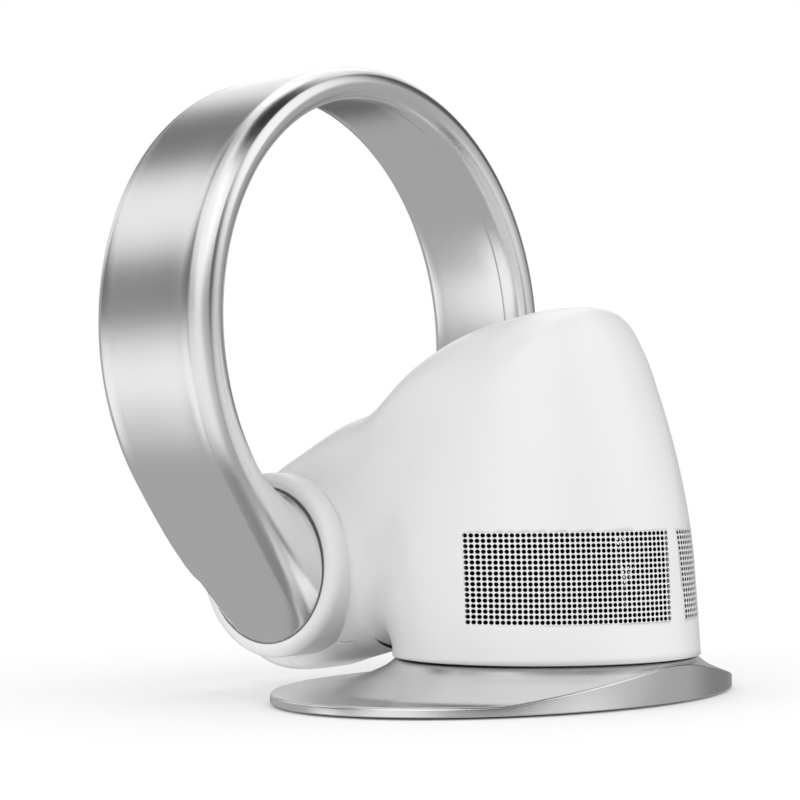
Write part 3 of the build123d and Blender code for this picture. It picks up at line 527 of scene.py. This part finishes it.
def section_knots():
    """Running length of the body at each section, as the mean over the points of the sections."""
    loop = section_points(np.linspace(0, 2 * np.pi, SECTION_SAMPLES, endpoint=False))
    steps = np.linalg.norm(np.diff(loop, axis=0), axis=-1).mean(axis=1)
    return np.concatenate([[0.0], np.cumsum(steps)])


SECTION_KNOTS = section_knots()


def body_grid(rows, columns):
    """A grid of points on the body: a smooth curve through the sections at each loop angle."""
    v = np.linspace(0, 2 * np.pi, columns, endpoint=False)
    u = np.linspace(0, SECTION_KNOTS[-1], rows)
    return curve_through(SECTION_KNOTS, section_points(v), u)


def body_point(u, v):
    """Points on the body at pairs of running length u and loop angle v."""
    keys = section_points(v)
    k = np.clip(np.searchsorted(SECTION_KNOTS, u, side="right") - 1, 1, len(SECTION_KNOTS) - 3)
    columns = np.arange(len(u))
    knots = [SECTION_KNOTS[k + step] for step in (-1, 0, 1, 2)]
    before, start, end, after = [keys[k + step, columns] for step in (-1, 0, 1, 2)]
    h0, h, h1 = [(b - a)[:, None] for a, b in zip(knots[:-1], knots[1:])]
    c0, c, c1 = (start - before) / h0, (end - start) / h, (after - end) / h1
    slope_start = (c0 * h + c * h0) / (h0 + h)
    slope_end = (c * h1 + c1 * h) / (h + h1)
    t = ((u - knots[1])[:, None]) / h
    return cubic_span(t, h, start, end, slope_start, slope_end)


def pull_axes(side):
    """Unit vectors of a grille: across its pull direction, and along it."""
    c, s = np.cos(np.radians(PULL_ANGLE)), np.sin(np.radians(PULL_ANGLE))
    return np.array([-s * side, c, 0.0]), np.array([c * side, s, 0.0])


def wall_point(across, height):
    """Points of the body's right wall at a distance across the pull and a height.

    Newton's method in running length u and loop angle v, with slopes from small trial steps.
    """
    cross, _ = pull_axes(1)
    up = np.array([0.0, 0.0, 1.0])
    u = np.full(across.shape, SECTION_KNOTS[2])
    v = np.full(across.shape, np.radians(SEARCH_START))
    lowest = SECTION_KNOTS[1] * SEARCH_LOWEST
    for _ in range(SEARCH_ROUNDS):
        point = body_point(u, v)
        along_u = (body_point(u + SEARCH_TRIAL, v) - point) / SEARCH_TRIAL
        along_v = (body_point(u, v + SEARCH_TRIAL) - point) / SEARCH_TRIAL
        miss_a, miss_z = point @ cross - across, point @ up - height
        a, b, c, d = along_u @ cross, along_v @ cross, along_u @ up, along_v @ up
        det = a * d - b * c
        step_u, step_v = (miss_a * d - b * miss_z) / det, (a * miss_z - miss_a * c) / det
        u = np.clip(u - np.clip(step_u, -SEARCH_STEP_ALONG, SEARCH_STEP_ALONG), lowest, None)
        v = v - np.clip(step_v, -SEARCH_STEP_ROUND, SEARCH_STEP_ROUND)
    return body_point(u, v)


# ---------------------------------------------------------------- windows in the body
def grille_window(side):
    """Planes round a grille's window, and a test for what lies inside it."""
    low, high = GRILLE_REACH[side]
    cross, pull = pull_axes(side)
    planes = [(cross * low, cross), (cross * high, cross),
              ((0, 0, GRILLE_LOW), (0, 0, 1)), ((0, 0, GRILLE_HIGH), (0, 0, 1))]

    def inside(centre, margin=0.0):
        centre = np.array(centre)
        return (low - margin < centre @ cross < high + margin and centre @ pull > 0
                and GRILLE_LOW - margin < centre[2] < GRILLE_HIGH + margin)
    return planes, inside


def cover_window():
    """Planes round the service cover under the arm, and a test for what lies inside it."""
    half, front, rear = COVER_HALF_WIDTH, COVER_FRONT_Y, COVER_REAR_Y
    planes = [((-half, 0, 0), (1, 0, 0)), ((half, 0, 0), (1, 0, 0)),
              ((0, front, 0), (0, 1, 0)), ((0, rear, 0), (0, 1, 0))]

    def inside(centre, margin=0.0):
        return (abs(centre[0]) < half + margin and front - margin < centre[1] < rear + margin
                and centre[2] < COVER_TOP)
    return planes, inside


def outside_collar(centre):
    """False on the arm's sides inside the collars."""
    reach = np.hypot(centre[1] - TILT_Y, centre[2] - TILT_Z)
    return abs(centre[0]) <= COLLAR_CUT_X or reach >= COLLAR_CUT_RADIUS


# ---------------------------------------------------------------- grille and collar surfaces
def grille_cells(side, columns, rows, hole_share):
    """One square cell for each hole: face, lip, tube and back, pushed in from the wall."""
    low, high = GRILLE_REACH[side]
    step_a, step_z = (high - low) / columns, (GRILLE_HIGH - GRILLE_LOW) / rows
    corner = np.radians(HOLE_TURN + 360 / HOLE_CORNERS * np.arange(HOLE_CORNERS))
    c, s = np.cos(corner), np.sin(corner)
    to_edge = 1 / np.maximum(np.abs(c), np.abs(s))
    hole = min(step_a, step_z) * hole_share / 2
    a = low + (np.arange(columns) + 0.5) * step_a
    z = GRILLE_LOW + (np.arange(rows) + 0.5) * step_z
    a, z = [grid.reshape(-1, 1) for grid in np.meshgrid(a, z, indexing="ij")]
    across = np.stack([a + c * to_edge * step_a / 2, a + c * hole], 1)
    height = np.stack([z + s * to_edge * step_z / 2, z + s * hole], 1)
    front = wall_point(across.ravel(), height.ravel()).reshape(*across.shape, 3)
    _, pull = pull_axes(1)
    lip = front[:, 1:] - pull * HOLE_LIP
    back = front - pull * GRILLE_THICK
    loops = np.concatenate([front, lip, back[:, ::-1]], 1)
    loops[..., 0] *= side
    cells, bands = loops.shape[:2]
    quads = grid_faces(bands, HOLE_CORNERS)[:, ::-side]
    faces = quads[None] + (np.arange(cells) * bands * HOLE_CORNERS)[:, None, None]
    band = np.tile(np.arange(len(quads)) // HOLE_CORNERS, cells)
    return loops.reshape(-1, 3), faces.reshape(-1, 4), band


def collar_outline():
    """Closed outline of the collar as (x, radius): a quarter round, then the recess and skirt."""
    turn = np.linspace(np.pi / 2, 0, COLLAR_ROUND_POINTS)
    round_x = COLLAR_FACE_X - COLLAR_ROUND + COLLAR_ROUND * np.cos(turn)
    round_r = COLLAR_RADIUS - COLLAR_ROUND + COLLAR_ROUND * np.sin(turn)
    return np.concatenate([np.stack([round_x, round_r], -1), COLLAR_OUTLINE])


def collar_grid(side):
    """The collar's outline turned about the tilt axis."""
    outline = collar_outline()
    turn = np.linspace(0, 2 * np.pi, COLLAR_STEPS, endpoint=False)[:, None]
    x = np.broadcast_to(side * outline[:, 0], (COLLAR_STEPS, len(outline)))
    y = TILT_Y + outline[:, 1] * np.cos(turn)
    z = TILT_Z + outline[:, 1] * np.sin(turn)
    return np.stack([x, y, z], -1)


# ---------------------------------------------------------------- ring surface
def ring_outline():
    """The ring's section: y, place from the inner (-1) to the outer (+1) edge, angle, slot flag."""
    middle, half = (RING_OUTER + RING_INNER) / 2, (RING_OUTER - RING_INNER) / 2
    rows = []
    for outline, is_slot in ((RING_OUTLINE, 0), (SLOT_OUTLINE, 1), (DIFFUSER_OUTLINE, 0)):
        rows += [(y, (r - middle) / half, angle, is_slot) for y, r, angle in outline]
    outline = resample(rows, OUTLINE_PIECES)
    outline[:, 2] %= 360
    return outline


def ring_stations(arc_steps, limb_steps):
    """Sections along the path: outer and inner edge as (x, z), and the share turned to a foot."""
    t = np.linspace(1, 0, limb_steps, endpoint=False)
    angle = np.radians(np.linspace(180 - LIMB_ANGLE, LIMB_ANGLE, arc_steps))
    circle = np.stack([np.cos(angle), np.sin(angle)], -1)
    edges = []
    for limb, radius in ((LIMB_OUTER, RING_OUTER), (LIMB_INNER, RING_INNER)):
        left = quadratic([(-x, z) for x, z in limb], t)
        right = quadratic(limb, t[::-1])
        edges.append(np.concatenate([left, circle * radius + (0, RING_CENTRE_Z), right]))
    turned = np.concatenate([t, np.zeros(arc_steps), t[::-1]])
    return edges[0], edges[1], turned


def ring_grid(arc_steps, limb_steps):
    """The ring's skin: its section carried round the circle and down both limbs to the feet.

    Down a limb the slot closes first, and the section becomes the foot's circle by the weight
    t^2 (2 - t).
    """
    outline = ring_outline()
    outer, inner, t = ring_stations(arc_steps, limb_steps)
    t = t[:, None]
    weight = t ** 2 * (2 - t)
    y, s, angle, slot = [outline[:, k][None, :] for k in range(4)]
    middle, half = (RING_OUTER + RING_INNER) / 2, (RING_OUTER - RING_INNER) / 2
    closing = np.clip(slot, 0, 1) * ease(t / SLOT_CLOSING)
    y = y + (SLOT_MOUTH[0] - y) * closing
    s = s + ((SLOT_MOUTH[1] - middle) / half - s) * closing
    turn = np.radians(angle)
    y = y + (TILT_Y - FOOT_RADIUS * np.cos(turn) - y) * weight
    s = s + (np.sin(turn) - s) * weight
    centre, reach = (outer + inner) / 2, (outer - inner) / 2
    x = centre[:, :1] + s * reach[:, :1]
    z = centre[:, 1:] + s * reach[:, 1:]
    return np.stack([x, np.broadcast_to(y, x.shape), z], -1), np.radians(outline[:, 2])


def foot_rim(side, turn):
    """Rings of points that close a foot: its edge, the rim in the collar, the bore and its end."""
    rows = []
    for x, radius in (
            (FOOT_FACE_X - (FOOT_SEAM - FOOT_EDGE), FOOT_RADIUS),
            (FOOT_FACE_X - FOOT_SEAM, FOOT_RADIUS - FOOT_EDGE),
            (FOOT_FACE_X - FOOT_SEAM, RIM_RADIUS), (RIM_X, RIM_RADIUS),
            (RIM_X, TRUNNION_RADIUS), (FOOT_FACE_X, TRUNNION_RADIUS), (FOOT_FACE_X, 0.0)):
        y = TILT_Y - radius * np.cos(turn)
        z = TILT_Z - radius * np.sin(turn)
        rows.append(np.stack([np.full_like(y, side * x), y, z], -1))
    return np.array(rows)


# ---------------------------------------------------------------- base surface
def flare_height(radius, inset=0.0):
    """Height of the cover at a distance from the swivel axis."""
    curve = np.array(FLARE_CURVE)
    return curve_through(curve[:, 0] - inset / 2, curve[:, 1:] - inset, radius)[..., 0]


def oval_reach(turn, inset=0.0):
    """Distance from the swivel axis to the oval edge: the root of a ray's quadratic."""
    a, b = BASE_HALF_WIDTH - inset, BASE_HALF_DEPTH - inset
    c, s = np.cos(turn), np.sin(turn)
    qa = (c / a) ** 2 + (s / b) ** 2
    qb = -2 * s * BASE_OFFSET_Y / b ** 2
    qc = (BASE_OFFSET_Y / b) ** 2 - 1
    return (-qb + np.sqrt(qb ** 2 - 4 * qa * qc)) / (2 * qa)


def base_grid(segments, edge_round):
    """The cover as a closed skin: deck, flare, rounded edge, wall, and the inner face back.

    Each loop is a radius and a height for every turn about the swivel axis.
    """
    turn = np.linspace(0, 2 * np.pi, segments, endpoint=False)
    hub, hub_height = FLARE_CURVE[0]
    edge, inner = oval_reach(turn), oval_reach(turn, BASE_WALL)
    brim = edge - edge_round * BRIM_SHARE
    loops = [(HUB_HOLE_RADIUS, hub_height), (hub - HUB_CHAMFER, hub_height)]
    for share in np.linspace(0, 1, FLARE_LOOPS) ** FLARE_CROWDING:
        radius = hub + (brim - hub) * share
        loops.append((radius, flare_height(radius)))
    rise = flare_height(brim + SLOPE_STEP) - flare_height(brim - SLOPE_STEP)
    start = np.arctan(rise / (2 * SLOPE_STEP))
    for share in np.linspace(0, 1, EDGE_LOOPS)[1:]:
        lean = start + (-np.pi / 2 - start) * share
        out = (np.sin(start) - np.sin(lean)) / (1 + np.sin(start))
        down = edge_round * (np.cos(start) - np.cos(lean))
        loops.append((brim + out * (edge - brim), flare_height(brim) - down))
    loops += [(edge, COVER_BOTTOM + RIM_CHAMFER), (edge - RIM_CHAMFER, COVER_BOTTOM),
              (inner, COVER_BOTTOM)]
    for share in np.linspace(1, 0, INNER_LOOPS):
        radius = hub - BASE_WALL / 2 + (inner - hub + BASE_WALL / 2) * share
        loops.append((radius, flare_height(radius, BASE_WALL)))
    loops.append((HUB_HOLE_RADIUS, hub_height - BASE_WALL))
    rows = [np.stack([r * np.cos(turn), r * np.sin(turn), np.broadcast_to(z, turn.shape)], -1)
            for r, z in loops]
    return np.array(rows)


# ---------------------------------------------------------------- materials
def math_node(tree, operation, *sources):
    """A Math node fed by sockets or numbers."""
    node = tree.nodes.new("ShaderNodeMath")
    node.operation = operation
    for socket, source in zip(node.inputs, sources):
        if isinstance(source, (int, float)):
            socket.default_value = source
        else:
            tree.links.new(source, socket)
    return node.outputs[0]


def grain_group():
    """Fine speckle on Object coordinates: a height for bumps and a value for roughness."""
    tree = bpy.data.node_groups.new("Fine grain", "ShaderNodeTree")
    for name, way in (("Grain size", "INPUT"), ("Roughness", "INPUT"),
                      ("Bump Height", "OUTPUT"), ("Roughness", "OUTPUT")):
        tree.interface.new_socket(name, in_out=way, socket_type="NodeSocketFloat")
    given = tree.nodes.new("NodeGroupInput").outputs
    result = tree.nodes.new("NodeGroupOutput").inputs
    noise = tree.nodes.new("ShaderNodeTexNoise")
    noise.inputs["Detail"].default_value = GRAIN_DETAIL
    speckle = noise.outputs["Fac"]
    scale = math_node(tree, "DIVIDE", 1.0, given["Grain size"])
    lowest = math_node(tree, "SUBTRACT", given["Roughness"], ROUGHNESS_SPREAD / 2)
    roughness = math_node(tree, "MULTIPLY_ADD", speckle, ROUGHNESS_SPREAD, lowest)
    link = tree.links.new
    link(tree.nodes.new("ShaderNodeTexCoord").outputs["Object"], noise.inputs["Vector"])
    link(scale, noise.inputs["Scale"])
    link(speckle, result["Bump Height"])
    link(roughness, result["Roughness"])


def finish(name):
    """The material made here for a slot; the frame brings a plain one of the slot's own name."""
    return bpy.data.materials[name + "_finish"]


def make_material(name, colour, roughness, metallic=0.0, grain=0.0006, bump=0.02, coat=0.0):
    """A surface with a fine grain in its roughness and its relief."""
    material = bpy.data.materials.new(name + "_finish")
    material.use_nodes = True
    nodes, link = material.node_tree.nodes, material.node_tree.links.new
    shader = nodes["Principled BSDF"]
    shader.inputs["Base Color"].default_value = (*colour, 1.0)
    shader.inputs["Metallic"].default_value = metallic
    shader.inputs["Coat Weight"].default_value = coat
    group = nodes.new("ShaderNodeGroup")
    group.node_tree = bpy.data.node_groups["Fine grain"]
    group.inputs["Grain size"].default_value = grain
    group.inputs["Roughness"].default_value = roughness
    relief = nodes.new("ShaderNodeBump")
    relief.inputs["Strength"].default_value = bump
    relief.inputs["Distance"].default_value = grain
    link(group.outputs["Roughness"], shader.inputs["Roughness"])
    link(group.outputs["Bump Height"], relief.inputs["Height"])
    link(relief.outputs["Normal"], shader.inputs["Normal"])
    return material


# ---------------------------------------------------------------- stage
def direction(azimuth, elevation):
    """Unit vector at an azimuth from the front towards the right and an elevation, in degrees."""
    a, e = np.radians([azimuth, elevation])
    return np.array([np.sin(a) * np.cos(e), -np.cos(a) * np.cos(e), np.sin(e)])


def placement(right, up, back, place):
    """A placement matrix from three axes and a place in millimetres."""
    rows = [[r, u, b, p * MM] for r, u, b, p in zip(right, up, back, place)]
    return Matrix(rows + [[0.0, 0.0, 0.0, 1.0]])


def add_floor():
    """A wide white floor that lights the underside evenly and doesn't show in the silver."""
    corners = FLOOR_HALF_WIDTH * np.array([[-1, -1, 0], [1, -1, 0], [1, 1, 0], [-1, 1, 0]])
    mesh = new_mesh("floor", corners, np.array([[0, 1, 2, 3]]), turn_outwards=False)
    floor = bpy.data.objects.new("floor", mesh)
    bpy.context.scene.collection.objects.link(floor)
    paint = make_material("floor_paint", WHITE, FLOOR_ROUGHNESS, bump=0.0)
    mesh.materials.append(paint)
    nodes, link = paint.node_tree.nodes, paint.node_tree.links.new
    glow = nodes.new("ShaderNodeEmission")
    glow.inputs["Strength"].default_value = FLOOR_GLOW
    blend = nodes.new("ShaderNodeMixShader")
    link(nodes.new("ShaderNodeLightPath").outputs["Is Diffuse Ray"], blend.inputs["Fac"])
    link(nodes["Principled BSDF"].outputs["BSDF"], blend.inputs[1])
    link(glow.outputs["Emission"], blend.inputs[2])
    link(blend.outputs["Shader"], nodes["Material Output"].inputs["Surface"])
    floor.visible_glossy = False


def add_lobe(tree, ray, towards, inner, outer, low, high):
    """A soft round patch of the surround: high inside its inner angle, low outside its outer."""
    angle = tree.nodes.new("ShaderNodeVectorMath")
    angle.operation = "DOT_PRODUCT"
    angle.inputs[1].default_value = direction(*towards)
    patch = tree.nodes.new("ShaderNodeMapRange")
    patch.interpolation_type = "SMOOTHSTEP"
    patch.inputs["From Min"].default_value = np.cos(np.radians(outer))
    patch.inputs["From Max"].default_value = np.cos(np.radians(inner))
    patch.inputs["To Min"].default_value = low
    patch.inputs["To Max"].default_value = high
    tree.links.new(ray, angle.inputs[0])
    tree.links.new(angle.outputs["Value"], patch.inputs["Value"])
    return patch.outputs["Result"]


def add_surround(strength):
    """A white surround; soft lights on grey shine in the silver, and all else is lit evenly."""
    world = bpy.data.worlds.new("surround")
    world.use_nodes = True
    tree = world.node_tree
    ray = tree.nodes.new("ShaderNodeTexCoord").outputs["Generated"]
    path = tree.nodes.new("ShaderNodeLightPath").outputs
    shine = SHINE_GREY
    for towards, inner, outer, gain in SOFT_LIGHTS:
        lobe = add_lobe(tree, ray, towards, inner, outer, 0.0, gain)
        shine = math_node(tree, "ADD", lobe, shine)
    for towards, inner, outer, keep in DARK_FLAGS:
        lobe = add_lobe(tree, ray, towards, inner, outer, 1.0, keep)
        shine = math_node(tree, "MULTIPLY", shine, lobe)
    fill = add_lobe(tree, ray, FILL_TOWARDS, 0.0, FILL_SPREAD, FILL_LOW, FILL_HIGH)
    is_shine = path["Is Glossy Ray"]
    not_shine = math_node(tree, "SUBTRACT", 1.0, is_shine)
    level = math_node(tree, "ADD", math_node(tree, "MULTIPLY", is_shine, shine),
                      math_node(tree, "MULTIPLY", not_shine, fill))
    level = math_node(tree, "MAXIMUM", level, path["Is Camera Ray"])
    background = tree.nodes["Background"]
    background.inputs["Color"].default_value = (*WHITE, 1.0)
    level = math_node(tree, "MULTIPLY", level, strength)
    tree.links.new(level, background.inputs["Strength"])
    # light is gathered along rays alone, so that a ray's kind is known where it ends
    world.cycles.sampling_method = "NONE"
    bpy.context.scene.world = world


def add_key(power):
    """A large square light that faces the fan."""
    lamp = bpy.data.lights.new("key", "AREA")
    lamp.size = KEY_SIZE * MM
    lamp.energy = power
    back = np.subtract(KEY_PLACE, KEY_TARGET)
    back = back / np.linalg.norm(back)
    right = np.cross((0.0, 0.0, 1.0), back)
    right = right / np.linalg.norm(right)
    light = bpy.data.objects.new("key", lamp)
    light.matrix_world = placement(right, np.cross(back, right), back, KEY_PLACE)
    bpy.context.scene.collection.objects.link(light)


def add_camera():
    """The camera of the photograph, from its azimuth, tilt and roll."""
    azimuth, roll = np.radians([CAMERA_AZIMUTH, CAMERA_ROLL])
    back = direction(CAMERA_AZIMUTH, CAMERA_TILT)
    level = np.array([np.cos(azimuth), np.sin(azimuth), 0.0])
    upright = np.cross(back, level)
    right = np.cos(roll) * level + np.sin(roll) * upright
    up = np.cos(roll) * upright - np.sin(roll) * level
    lens = bpy.data.cameras.new("camera")
    lens.lens = CAMERA_LENS
    lens.sensor_width = CAMERA_SENSOR
    lens.clip_start = CAMERA_NEAR * MM
    camera = bpy.data.objects.new("camera", lens)
    camera.matrix_world = placement(right, up, back, CAMERA_PLACE)
    bpy.context.scene.collection.objects.link(camera)
    bpy.context.scene.camera = camera


# ---------------------------------------------------------------- operators
class FAN_OT_materials(bpy.types.Operator):
    """Make the finishes and give each CAD node the one of its slot"""
    bl_idname = "fan.materials"
    bl_label = "Materials"

    def execute(self, context):
        body, ring = context.scene.fan_body, context.scene.fan_ring
        grain_group()
        make_material("white_plastic", body.colour, body.roughness, **WHITE_FINISH)
        make_material("satin_silver", ring.colour, ring.roughness, grain=ring.grain,
                      **SILVER_FINISH)
        for name, values in HIDDEN_FINISHES.items():
            make_material(name, **values)
        slots = {part["node"]: part["material_slot"] for part in frame["record"]["subparts"]}
        for node, piece in frame["nodes"].items():
            piece.data.materials.clear()
            piece.data.materials.append(finish(slots[node]))
        return {"FINISHED"}


class FAN_OT_body(bpy.types.Operator):
    """Build the swivelling body with its arm, windows and service cover"""
    bl_idname = "fan.body"
    bl_label = "Body"

    def execute(self, context):
        rows, columns = context.scene.fan_body.rows, context.scene.fan_body.columns
        mesh = new_mesh("body_shell_skin", body_grid(rows, columns), grid_faces(rows, columns))
        tidy_mesh(mesh)
        for side in (1, -1):
            planes, inside = grille_window(side)
            keep_faces(cut_along(mesh, planes, inside), mesh, lambda centre: not inside(centre))
        planes, inside = cover_window()
        work = cut_along(mesh, planes, inside)
        cover = mesh.copy()
        cover.name = "arm_cover_skin"
        keep_faces(work.copy(), cover, inside)
        keep_faces(work, mesh, lambda centre: not inside(centre))
        keep_faces(load_mesh(mesh), mesh, outside_collar)
        for skin, node in ((mesh, "body_shell"), (cover, "arm_bottom_cover")):
            skin.set_sharp_from_angle(angle=np.radians(SHARP_ANGLE))
            piece = add_piece(skin, "white_plastic", "head", node)
            # the wall's inner face is black plastic: painted shade for the hollow seen through the
            # grille holes
            skin.materials.append(finish("black_plastic"))
            wall = piece.modifiers.new("Wall", "SOLIDIFY")
            wall.thickness = BODY_WALL * MM
            wall.offset = -1
            wall.material_offset = 1
        return {"FINISHED"}


class FAN_OT_grilles(bpy.types.Operator):
    """Build the two inlet grilles with all their holes"""
    bl_idname = "fan.grilles"
    bl_label = "Grilles"

    def execute(self, context):
        settings = context.scene.fan_grille
        for side, word in ((1, "right"), (-1, "left")):
            points, faces, band = grille_cells(
                side, settings.columns, settings.rows, settings.hole_share)
            mesh = new_mesh(f"{word}_grille_skin", points, faces, turn_outwards=False)
            add_piece(mesh, "white_plastic", "head", f"{word}_grille")
            # faces past each hole's lip, and the grille's back, take black plastic: painted shade
            # inside the holes
            mesh.materials.append(finish("black_plastic"))
            is_painted_shade = (band >= LIGHT_BANDS).astype(np.int32)
            mesh.polygons.foreach_set("material_index", is_painted_shade)
            tidy_mesh(mesh)
        return {"FINISHED"}


class FAN_OT_collars(bpy.types.Operator):
    """Build the two collars in the arm that carry the ring"""
    bl_idname = "fan.collars"
    bl_label = "Collars"

    def execute(self, context):
        for side, word in ((1, "right"), (-1, "left")):
            points = collar_grid(side)
            faces = grid_faces(*points.shape[:2], close_rows=True)
            mesh = new_mesh(f"{word}_collar_skin", points, faces)
            tidy_mesh(mesh)
            add_piece(mesh, "white_plastic", "head", f"{word}_collar")
        return {"FINISHED"}


class FAN_OT_ring(bpy.types.Operator):
    """Build the air ring with its slot, its limbs and its feet"""
    bl_idname = "fan.ring"
    bl_label = "Air ring"

    def execute(self, context):
        settings = context.scene.fan_ring
        grid, turn = ring_grid(settings.arc_steps, settings.limb_steps)
        points = np.concatenate([foot_rim(-1, turn)[::-1], grid, foot_rim(1, turn)])
        mesh = new_mesh("air_ring_skin", points, grid_faces(*points.shape[:2]))
        tidy_mesh(mesh, sharp=RING_SHARP)
        add_piece(mesh, "satin_silver", "ring",
                  "ring_shell", "ring_diffuser", "left_limb", "right_limb")
        return {"FINISHED"}


class FAN_OT_base(bpy.types.Operator):
    """Build the flared cover of the base"""
    bl_idname = "fan.base"
    bl_label = "Base cover"

    def execute(self, context):
        settings = context.scene.fan_base
        points = base_grid(settings.segments, settings.edge_round / MM)
        faces = grid_faces(*points.shape[:2], close_rows=True)
        mesh = new_mesh("base_cover_skin", points, faces)
        tidy_mesh(mesh)
        add_piece(mesh, "satin_silver", "base", "base_cover")
        return {"FINISHED"}


class FAN_OT_stage(bpy.types.Operator):
    """Set the floor, the lights, the surround and the camera"""
    bl_idname = "fan.stage"
    bl_label = "Stage"

    def execute(self, context):
        settings = context.scene.fan_stage
        add_floor()
        add_surround(settings.sky)
        add_key(settings.key_power)
        add_camera()
        context.scene.view_settings.view_transform = "Standard"
        return {"FINISHED"}


OPERATORS = (FAN_OT_materials, FAN_OT_body, FAN_OT_grilles, FAN_OT_collars, FAN_OT_ring,
             FAN_OT_base, FAN_OT_stage)


class FAN_PT_panel(bpy.types.Panel):
    """Settings and steps of the fan"""
    bl_label = "Bladeless fan"
    bl_idname = "FAN_PT_panel"
    bl_space_type = "VIEW_3D"
    bl_region_type = "UI"
    bl_category = "Fan"

    def draw(self, context):
        for name, group in SETTINGS.items():
            box = self.layout.box()
            box.label(text=group.__doc__)
            for field in group.__annotations__:
                box.prop(getattr(context.scene, name), field)
        for operator in OPERATORS:
            self.layout.operator(operator.bl_idname)


def register():
    """Adds the settings to every scene, and the steps and the panel to the program."""
    for name, group in SETTINGS.items():
        bpy.utils.register_class(group)
        setattr(bpy.types.Scene, name, bpy.props.PointerProperty(type=group))
    for entry in OPERATORS + (FAN_PT_panel,):
        bpy.utils.register_class(entry)


def unregister():
    """Takes out what register put in."""
    for entry in OPERATORS + (FAN_PT_panel,):
        bpy.utils.unregister_class(entry)
    for name, group in SETTINGS.items():
        delattr(bpy.types.Scene, name)
        bpy.utils.unregister_class(group)


def main():
    """Builds the fan step by step."""
    register()
    bpy.ops.fan.materials()
    bpy.ops.fan.body()
    bpy.ops.fan.grilles()
    bpy.ops.fan.collars()
    bpy.ops.fan.ring()
    bpy.ops.fan.base()
    bpy.ops.fan.stage()


if __name__ == "__main__":
    main()
